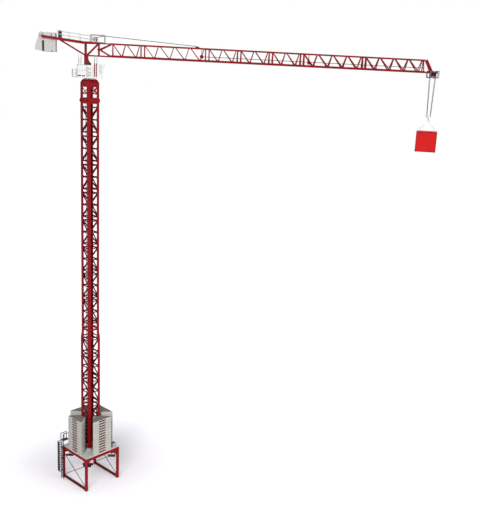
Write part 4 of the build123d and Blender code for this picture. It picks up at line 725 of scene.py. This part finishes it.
def buildFasteners():
    bolts, head = [], fasteners["bolt"] * fasteners["headShare"]
    for x in (-1, 1):
        for y in (-1, 1):
            for dx in (-1, 1):
                for dy in (-1, 1):
                    spot = (x * fasteners["spacing"] + dx * fasteners["footBolt"],
                            y * fasteners["spacing"] + dy * fasteners["footBolt"], fasteners["footTop"])
                    bolts.append((Vector(spot), facing((0, 0, 1))))
    scatter("footBolts", boltStamp(fasteners["bolt"], head), bolts, basePlace, "trolleyMetal", "base")
    collar = []
    for turn in quarterTurns:
        for x in fasteners["collarBolts"]:
            collar.append((turn @ Vector((x, -fasteners["collarHalf"], fasteners["collarZ"])),
                           facing(turn @ Vector((0, -1, 0)))))
    scatter("collarBolts", boltStamp(fasteners["bolt"], head), collar, basePlace, "redEnamel", "base")
    teeth = []
    for step in range(fasteners["teeth"]):
        angle = 2 * math.pi * step / fasteners["teeth"]
        out = Vector((math.cos(angle), math.sin(angle), 0))
        teeth.append((out * fasteners["ringRadius"] + Vector((0, 0, fasteners["ringZ"])),
                      facing(out, Vector((-out.y, out.x, 0)))))
    scatter("ringTeeth", plateStamp(fasteners["toothWide"], fasteners["toothHigh"], fasteners["toothDeep"]),
            teeth, basePlace, "paleEnamel", "base")


buildFasteners()
print("feet, collar and ring fitted")

# Jib: splice plates with pins where its sections meet, node plates at the lacing's feet, and cover bars
# that bring chords, end frames and lacing to their full width
jib = {"joints": (162.4, 362.4, 462.4, 562.4, 662.4, 862.4, 1062.4), "root": 65.0, "low": 1441.4,
       "high": 1479.0, "half": 10.0, "chord": 3.6, "inset": 5.5, "bay": 47.5, "footShare": 0.65,
       "topShare": 0.9, "topY": 2.7, "plateLong": 15.0, "plateHigh": 3.2, "plateThick": 0.4,
       "lowPlate": 0.6, "topPlate": 1.4, "pin": 1.0, "pinStep": 3.4, "nodeLong": 7.0, "nodeHigh": 3.2,
       "nodeLift": 3.6, "nodeOut": 0.8, "strap": 4.6, "strapThick": 0.6, "hub": (31.1, 13.1, 1460.2),
       "armWide": 4.6, "armThick": 3.0, "armOut": 3.1, "postWide": 3.6, "postThick": 2.4, "innerBar": 2.6,
       "outerBar": 3.2, "barThick": 1.8, "nose": ((1065.5, 1.9, 1480.2), (1087.5, 5.1, 1440.6)),
       "noseWide": 8.5, "noseThick": 2.6, "headEdge": (-18.8, 8.0, 18.0, 1476.8, 1482.4), "edgeHalf": 0.4,
       "headStrap": (8.0, 29.8, 11.2, 1476.6, 1481.6), "strapHalf": 0.5}


def jibBays():  # for each bay of the lacing: its section's start, its own start and length, last or not
    for start, end in zip((jib["root"],) + jib["joints"][:-1], jib["joints"]):
        first, last = start + jib["inset"], end - jib["inset"]
        count = round((last - first) / jib["bay"])
        bay = (last - first) / count
        for step in range(count):
            yield start, first + step * bay, bay, step == count - 1


def buildJibFittings():
    plates, pins = [], []
    face = jib["half"] + jib["chord"] / 2
    foot, top = jib["low"] + jib["lowPlate"], jib["high"] - jib["topPlate"]
    for x in jib["joints"][:-1]:
        for side in (-1, 1):
            flat = facing((0, side, 0), (1, 0, 0))
            plates.append((Vector((x, side * face, foot)), flat))
            plates.append((Vector((x, side * jib["chord"] / 2, top)), flat))
            for shift in (-1, 1):
                spot = (x + shift * jib["pinStep"], side * (face + jib["plateThick"]), foot)
                pins.append((Vector(spot), facing((0, side, 0))))
        crown = jib["high"] + jib["chord"] / 2
        plates.append((Vector((x, 0, crown)), facing((0, 0, 1), (1, 0, 0))))
        for shift in (-1, 1):
            spot = (x + shift * jib["pinStep"], 0, crown + jib["plateThick"])
            pins.append((Vector(spot), facing((0, 0, 1))))
    scatter("jibSplices", plateStamp(jib["plateLong"], jib["plateHigh"], jib["plateThick"]), plates, jibPlace,
            "redEnamel", "upper_works")
    scatter("jibPins", boltStamp(jib["pin"], jib["plateThick"]), pins, jibPlace, "redEnamel", "upper_works")
    knots = []
    for start, left, bay, ending in jibBays():
        x = left + jib["footShare"] * bay
        for side in (-1, 1):
            up = Vector((0, side * (jib["topY"] - jib["half"]), jib["high"] - jib["low"])).normalized()
            out = Vector((0, side * up.z, -side * up.y))
            spot = Vector((x, side * jib["half"], jib["low"])) + up * jib["nodeLift"] + out * jib["nodeOut"]
            knots.append((spot, facing(out, (1, 0, 0))))
    scatter("jibNodePlates", plateStamp(jib["nodeLong"], jib["nodeHigh"], jib["plateThick"]), knots, jibPlace,
            "redEnamel", "upper_works")


def buildJibStraps():  # cover straps along the chords, the root's arms, the nose and the tower head's top
    bm = bmesh.new()
    half, chord, thick = jib["strap"] / 2, jib["chord"] / 2, jib["strapThick"]
    start, end = jib["root"], jib["joints"][-1]
    for y, z in ((0, jib["high"]), (-jib["half"], jib["low"]), (jib["half"], jib["low"])):
        addBox(bm, (start, y - half, z + chord), (end, y + half, z + chord + thick), bevels["etched"])
    x, y, z = jib["hub"]
    for side in (-1, 1):
        hub = (x, side * y, z)
        for tip in ((start, side * y, jib["low"]), (start, side * jib["armOut"], jib["high"] - chord)):
            addBeam(bm, hub, tip, jib["armWide"], jib["armThick"], (0, 1, 0))
        (x0, y0, z0), (x1, y1, z1) = jib["nose"]
        addBeam(bm, (x0, side * y0, z0), (x1, side * y1, z1), jib["noseWide"], jib["noseThick"], (0, 1, 0))
    addSidePlates(bm, jib["headEdge"], jib["edgeHalf"], bevels["etched"])
    addSidePlates(bm, jib["headStrap"], jib["strapHalf"], bevels["etched"])
    drawPiece("jibStraps", bm, jibPlace, "redEnamel", "upper_works")
    posts = bmesh.new()  # the stout end frames where two sections are pinned together
    for x in [spot + shift * jib["inset"] for spot in jib["joints"][:-1] for shift in (-1, 1)]:
        for side in (-1, 1):
            foot, crown = (x, side * jib["half"], jib["low"]), (x, side * jib["topY"], jib["high"])
            addBeam(posts, foot, crown, jib["postThick"], jib["postWide"], (1, 0, 0))
    drawPiece("jibEndFrames", posts, jibPlace, "redEnamel", "upper_works")
    bars = bmesh.new()  # the lacing's cover bars, stouter in the two outer sections
    for start, left, bay, ending in jibBays():
        width = jib["outerBar"] if start >= jib["joints"][-3] else jib["innerBar"]
        for side in (-1, 1):
            foot = (left + jib["footShare"] * bay, side * jib["half"], jib["low"])
            crown = (left, side * jib["topY"], jib["high"])
            addBeam(bars, crown, foot, width, jib["barThick"], (0, 1, 0))
            if not ending:  # the rising bar beside the next section stays slim
                crown = (left + jib["topShare"] * bay, side * jib["topY"], jib["high"])
                addBeam(bars, foot, crown, width, jib["barThick"], (0, 1, 0))
    drawPiece("jibLacingBars", bars, jibPlace, "redEnamel", "upper_works")


buildJibFittings()
buildJibStraps()
print("jib fitted")

# Ropes: three-strand lay, drawn thick and at pitches of 4 and 3.6 mm so that the twist shows
ropes = {"diameter": 2.0, "fallDiameter": 1.6, "pitch": 4.0, "fallPitch": 3.6,
         "runs": (((17.0, 0, 1495.7), (45.8, 0, 1501.6)), ((45.8, 0, 1501.6), (331.0, 0, 1484.8)),
                  ((351.0, 0, 1455.0), (1062.4, 0, 1455.0))),
         "reach": 1092.0, "topHalf": 9.0, "lowHalf": 6.0, "topY": 4.0, "lowY": 2.4,
         "top": 1425.0, "low": 1309.0, "drum": (17.0, 1490.3), "drumHalf": 6.0,
         "coil": 6.2, "turns": 6.0, "coilSteps": 20}


def buildRopes():
    runs = [twistRope("run", start, end, ropes["diameter"], ropes["pitch"]) for start, end in ropes["runs"]]
    mesh = joinMeshes("hoistRopeLay", runs)
    mesh.transform(jibPlace)
    finishMesh("hoistRopeLay", mesh, "ropeThread", "upper_works", ["hoist_ropes"])
    x, z = ropes["drum"]
    wound = helixMesh("drumWinding", (x, -ropes["drumHalf"], z), (x, ropes["drumHalf"], z),
                      {"Turns": ropes["turns"], "Coil Radius": ropes["coil"],
                       "Strand Radius": ropes["diameter"] / 2, "Strands": 1, "Steps": ropes["coilSteps"]})
    wound.transform(jibPlace)
    finishMesh("drumWinding", wound, "ropeThread", "upper_works")
    falls = []
    for side in (-1, 1):
        for way in (-1, 1):
            top = (ropes["reach"] + side * ropes["topHalf"], way * ropes["topY"], ropes["top"])
            low = (ropes["reach"] + side * ropes["lowHalf"], way * ropes["lowY"], ropes["low"])
            falls.append(twistRope("fall", top, low, ropes["fallDiameter"], ropes["fallPitch"]))
    mesh = joinMeshes("hoistFalls", falls)
    mesh.transform(jibPlace)
    piece = finishMesh("hoistFalls", mesh, "ropeThread", None, ["rope_falls"])
    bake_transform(piece)


buildRopes()
print("ropes laid")

# Counter-jib: grating bars on the deck, lifting eyes and packing on the weights, the control cabinet's doors
counter = {"deckEnd": 94.0, "deckStart": 22.0, "half": 15.0, "pitch": 2.4, "bar": 0.6, "proud": 0.5,
           "rise": 0.1, "base": 1479.0, "root": 15.8, "lift": 3.52, "eyeZ": 1503.0, "eyes": (-145.0, -125.0),
           "eyeHalf": 8.0, "eyeSteps": ((-0.5, 1.4, 1.3, 12), (1.4, 2.0, 0.8, 12)), "packHalf": 13.4,
           "packLow": 1451.0, "packHigh": 1501.0, "wedgeLow": 1476.0,
           "packs": ((-140.2, -135.8), (-114.2, -109.8)), "gapShadeBlock": (-141.4, -134.8, 14.2, 1450.0, 1479.0),
           "cabinet": (-93.0, -85.0, 11.0, 1490.2, 1507.6), "doorEdge": 0.8, "doorGap": 0.4, "doorProud": 0.4}


def buildCounterJib():
    bars = []
    slope = Vector((1, 0, -counter["rise"])).normalized()
    for step in range(int((counter["deckEnd"] - counter["deckStart"]) / counter["pitch"])):
        reach = counter["deckStart"] + step * counter["pitch"]
        z = counter["base"] + counter["rise"] * (reach - counter["root"]) + counter["lift"]
        bars.append((Vector((-reach, 0, z)), facing((counter["rise"], 0, 1), slope)))
    scatter("deckGratingBars", plateStamp(counter["bar"], 2 * counter["half"], counter["proud"]), bars,
            jibPlace, "etchedMetal", "upper_works")
    eyes = bmesh.new()
    addStuds(eyes, counter["eyes"], (-counter["eyeHalf"], counter["eyeHalf"]), counter["eyeZ"],
             counter["eyeSteps"])
    drawPiece("weightEyes", eyes, jibPlace, "darkEnamel", "upper_works")
    packs, gapShadeBlock = bmesh.new(), bmesh.new()  # packing between the slabs; a dark block low in the rear gap is painted shade where the gap lies in shadow
    half = counter["packHalf"]
    for (x0, x1), low in zip(counter["packs"], (counter["wedgeLow"], counter["packLow"])):
        addBox(packs, (x0, -half, low), (x1, half, counter["packHigh"]), bevels["cast"])
    x0, x1, half, low, high = counter["gapShadeBlock"]
    addBox(gapShadeBlock, (x0, -half, low), (x1, half, high), bevels["etched"])
    drawPiece("weightPacking", packs, jibPlace, "weightEnamel", "upper_works")
    drawPiece("weightSpacer", gapShadeBlock, jibPlace, "darkEnamel", "upper_works")
    x0, x1, half, low, high = counter["cabinet"]
    doors, proud = bmesh.new(), counter["doorProud"]
    near, far = counter["doorGap"], half - counter["doorEdge"]
    for y0, y1 in ((-far, -near), (near, far)):
        addBox(doors, (x0 - proud, y0, low), (x0, y1, high), bevels["plate"])
        addBox(doors, (x1, y0, low), (x1 + proud, y1, high), bevels["plate"])
    drawPiece("controlDoors", doors, jibPlace, "trolleyMetal", "upper_works")


buildCounterJib()
print("counter-jib dressed")

# Cabinets, cab, the tower head's column and ladder, and the winch's roof
cabin = {"near": -33.0, "cabinet": (-35.0, -7.0, 1378.0, 1413.0), "doors": 3, "seam": 0.7, "proud": 0.3,
         "doorFoot": 4.0, "doorTop": 1.2, "handleX": (1.2, 0.6), "handleZ": (17.0, 21.0), "handleProud": 0.9,
         "slots": ((-32.0, -22.0), (-19.0, -11.0)), "slotZ": (0.4, 3.8), "slotProud": 0.35,
         "line": 1.3, "lineProud": 0.4, "shoe": (-15.9, 3.0, 11.2, 1413.2, 1421.0), "shoeHalf": 0.6,
         "rails": (15.9, 22.0), "rail": 3.0, "railY": (-13.7, -11.2), "railZ": (1378.0, 1420.0),
         "rungs": (1382.0, 1390.0, 1397.5, 1405.0, 1412.5), "rung": 0.9,
         "panelNear": -16.1, "steps": (1382.0, 1390.0, 1401.0), "stepX": (-2.0, 5.0), "stepDeep": 1.6,
         "stepHigh": 1.0, "cabNear": -34.0, "window": (32.75, 38.8, 1388.0, 1414.6), "strip": 0.8,
         "stripProud": 0.3, "roof": (4.0, 44.0, 8.8, 1502.4, 1504.6)}


def buildCabin():
    x0, x1, low, high = cabin["cabinet"]
    wide, near = (x1 - x0) / cabin["doors"], cabin["near"]
    doors, handles, slots = bmesh.new(), bmesh.new(), bmesh.new()
    (back, front), (foot, top) = cabin["handleX"], cabin["handleZ"]
    for count in range(cabin["doors"]):
        left = x0 + count * wide + cabin["seam"]
        right = x0 + (count + 1) * wide - cabin["seam"]
        addBox(doors, (left, near - cabin["proud"], low + cabin["doorFoot"]),
               (right, near, high - cabin["doorTop"]), bevels["door"])
        addBox(handles, (right - back, near - cabin["handleProud"], low + foot),
               (right - front, near, low + top), bevels["etched"])
    foot, top = cabin["slotZ"]
    for start, end in cabin["slots"]:
        addBox(slots, (start, near - cabin["slotProud"], low + foot), (end, near, low + top),
               bevels["strip"])
    edges = bmesh.new()
    line, proud = cabin["line"], near - cabin["lineProud"]
    addBox(edges, (x0, proud, low), (x0 + line, near, high), bevels["line"])
    addBox(edges, (x0, proud, high - line / 2), (x1, near, high), bevels["line"])
    drawPiece("cabinetEdges", edges, jibPlace, "trolleyMetal", "upper_works")
    # dark plates at the column's foot
    shoes = bmesh.new()
    addSidePlates(shoes, cabin["shoe"], cabin["shoeHalf"], bevels["plate"])
    drawPiece("columnShoes", shoes, jibPlace, "darkEnamel", "upper_works")
    ladder = bmesh.new()
    (y0, y1), (z0, z1), rail = cabin["railY"], cabin["railZ"], cabin["rail"] / 2
    for x in cabin["rails"]:
        addBox(ladder, (x - rail, y0, z0), (x + rail, y1, z1), bevels["cast"])
    for z in cabin["rungs"]:
        start, end = [(x, (y0 + y1) / 2, z) for x in cabin["rails"]]
        addDrum(ladder, start, end, cabin["rung"], sides=10)
    drawPiece("ladderFrameStout", ladder, jibPlace, "redEnamel", "upper_works",
              ["ladder_frame"])
    drawPiece("cabinetDoors", doors, jibPlace, "whiteEnamel", "upper_works")
    drawPiece("cabinetHandles", handles, jibPlace, "trolleyMetal", "upper_works")
    drawPiece("cabinetVents", slots, jibPlace, "darkEnamel", "upper_works")
    steps = bmesh.new()
    (x0, x1), y1 = cabin["stepX"], cabin["panelNear"]
    for z in cabin["steps"]:
        addBox(steps, (x0, y1 - cabin["stepDeep"], z), (x1, y1, z + cabin["stepHigh"]), bevels["etched"])
    drawPiece("panelSteps", steps, jibPlace, "etchedMetal", "upper_works")
    x0, x1, z0, z1 = cabin["window"]
    trim, edge = bmesh.new(), cabin["strip"]
    y0, y1 = cabin["cabNear"] - cabin["stripProud"], cabin["cabNear"]
    addBox(trim, (x0 - edge, y0, z0 - edge), (x1 + edge, y1, z0), bevels["strip"])
    addBox(trim, (x0 - edge, y0, z1), (x1 + edge, y1, z1 + edge), bevels["strip"])
    addBox(trim, (x0 - edge, y0, z0), (x0, y1, z1), bevels["strip"])
    addBox(trim, (x1, y0, z0), (x1 + edge, y1, z1), bevels["strip"])
    drawPiece("cabWindowTrim", trim, jibPlace, "paleEnamel", "upper_works")
    x0, x1, half, z0, z1 = cabin["roof"]
    roof = bmesh.new()
    addBox(roof, (x0, -half, z0), (x1, half, z1), bevels["cast"])
    drawPiece("winchRoof", roof, jibPlace, "darkEnamel", "upper_works")


buildCabin()
print("cab and cabinets dressed")

# Side platform: wire mesh on the floor and behind the rails, as coarse as it needs to be to show
walkway = {"x": (-51.0, -37.0), "y": (-33.0, -14.5), "floor": 1378.0, "rail": 1399.0, "inset": 0.7,
           "spacing": 2.4, "wire": 0.35}


def buildSidePlatform():
    x0, x1 = walkway["x"]
    y0, y1 = walkway["y"]
    tall = walkway["rail"] - walkway["floor"]
    middle = (walkway["rail"] + walkway["floor"]) / 2
    spacing, wire, inset = walkway["spacing"], walkway["wire"], walkway["inset"]
    upright = Matrix.Rotation(math.radians(90), 4, "X")
    near = Matrix.Translation(((x0 + x1) / 2, y0 + inset, middle)) @ upright
    rear = Matrix.Translation((x0 + inset, (y0 + y1) / 2, middle)) @ quarterTurns[1] @ upright
    flat = Matrix.Translation(((x0 + x1) / 2, (y0 + y1) / 2, walkway["floor"] + wire / 2))
    sheets = [wireSheet("floorMesh", x1 - x0, y1 - y0, spacing, wire, flat),
              wireSheet("nearMesh", x1 - x0 - 2 * inset, tall - 2 * inset, spacing, wire, near),
              wireSheet("rearMesh", y1 - y0 - 2 * inset, tall - 2 * inset, spacing, wire, rear)]
    mesh = joinMeshes("platformMesh", sheets)
    mesh.transform(jibPlace)
    finishMesh("platformMesh", mesh, "paleEnamel", "upper_works")


buildSidePlatform()
print("side platform meshed")

# Trolley and hook block: hubs, sheaves, pins, cheeks and end covers
hoist = {"reach": 1092.0, "wheelZ": 1444.6, "wheelX": 8.5, "plate": 18.0, "hub": (0.8, 1.7, 16),
         "cap": (1.3, 0.8, 6), "sheaveX": 9.0, "sheaveY": 4.0, "sheaveZ": 1427.0, "sheave": 2.6,
         "sheaveNear": 1.2, "sheaveFar": 2.4, "blockX": 5.0, "blockZ": 1305.0, "blockY": 5.0,
         "pin": (0.5, 1.5, 16), "cheek": (1086.0, 1098.0, 16.8, 1430.0, 1442.0),
         "cover": (1100.5, 1107.5, 17.8, 1426.0, 1447.0), "plateHalf": 0.5}


def addHub(bm, x, y, z, side, sizes):  # a drum that stands out sideways, with its length, radius and sides
    long, radius, sides = sizes
    addDrum(bm, (x, side * y, z), (x, side * (y + long), z), radius, sides)


def buildTrolley():
    hubs, sheaves, pins = bmesh.new(), bmesh.new(), bmesh.new()
    for side in (-1, 1):
        for x in (hoist["reach"] - hoist["wheelX"], hoist["reach"] + hoist["wheelX"]):
            addHub(hubs, x, hoist["plate"], hoist["wheelZ"], side, hoist["hub"])
            addHub(hubs, x, hoist["plate"], hoist["wheelZ"], side, hoist["cap"])
        x, z = hoist["reach"] + side * hoist["sheaveX"], hoist["sheaveZ"]
        for y in (-hoist["sheaveY"], hoist["sheaveY"]):
            for low, high in ((hoist["sheaveNear"], hoist["sheaveFar"]),
                              (-hoist["sheaveFar"], -hoist["sheaveNear"])):
                addDrum(sheaves, (x, y + low, z), (x, y + high, z), hoist["sheave"])
        for x in (hoist["reach"] - hoist["blockX"], hoist["reach"] + hoist["blockX"]):
            addHub(pins, x, hoist["blockY"], hoist["blockZ"], side, hoist["pin"])
    cheeks, covers = bmesh.new(), bmesh.new()
    addSidePlates(cheeks, hoist["cheek"], hoist["plateHalf"], bevels["plate"])
    addSidePlates(covers, hoist["cover"], hoist["plateHalf"], bevels["plate"])
    # the cheeks take the shaded red: painted shade
    drawPiece("trolleyCheeks", cheeks, jibPlace, "shadedRedEnamel", "trolley")
    drawPiece("trolleyCovers", covers, jibPlace, "caseEnamel", "trolley")
    drawPiece("trolleyHubs", hubs, jibPlace, "darkEnamel", "trolley")
    drawPiece("trolleySheaves", sheaves, jibPlace, "trolleyMetal", "trolley")
    drawPiece("blockPins", pins, jibPlace, "darkEnamel", "hook_and_load")


buildTrolley()
print("trolley and hook block dressed")

# Load: a crate with a raised rim, a lid and four sling eyes
load = {"top": 1256.0, "side": 66.0, "turn": -19.3, "wall": 1.2, "inset": 0.6, "rim": 2.6, "lidGap": 0.1,
        "wallBevel": 0.8, "rimBevel": 0.3, "lidBevel": 0.35, "eye": 29.0,
        "eyeSteps": ((0.0, 0.5, 1.8, 16), (0.5, 1.4, 0.9, 12))}


def buildLoad():
    place = (jibPlace @ Matrix.Translation((hoist["reach"], 0, 0))
             @ Matrix.Rotation(math.radians(load["turn"]), 4, "Z"))
    half, rim = load["side"] / 2, load["rim"]
    low, seam = load["top"] - load["side"], load["top"] - load["wall"]
    core = half - load["inset"]
    walls = bmesh.new()
    addBox(walls, (-core, -core, low + load["inset"]), (core, core, seam), load["wallBevel"])
    drawPiece("loadWalls", walls, place, "redPlastic", "hook_and_load", ["load_box"])
    box, bevel = bmesh.new(), load["rimBevel"]
    sides = ((-half, rim - half), (half - rim, half))
    for x0, x1 in sides:
        for y0, y1 in sides:
            addBox(box, (x0, y0, low), (x1, y1, seam), bevel)
    for z0, z1 in ((low, low + rim), (seam - rim, seam)):
        for a, b in sides:
            addBox(box, (-half, a, z0), (half, b, z1), bevel)
            addBox(box, (a, -half, z0), (b, half, z1), bevel)
    # the rim takes the deeper copy of the red styrene: painted shade at edges and ribs
    drawPiece("loadRim", box, place, "rimShadePlastic", "hook_and_load")
    lid = bmesh.new()
    addBox(lid, (-half, -half, seam + load["lidGap"]), (half, half, load["top"]), load["lidBevel"])
    drawPiece("loadCrateLid", lid, place, "redPlastic", "hook_and_load", ["load_lid"])
    eyes, spots = bmesh.new(), (-load["eye"], load["eye"])
    addStuds(eyes, spots, spots, load["top"], load["eyeSteps"])
    drawPiece("slingEyes", eyes, place, "whiteEnamel", "hook_and_load")


buildLoad()
print("load dressed")
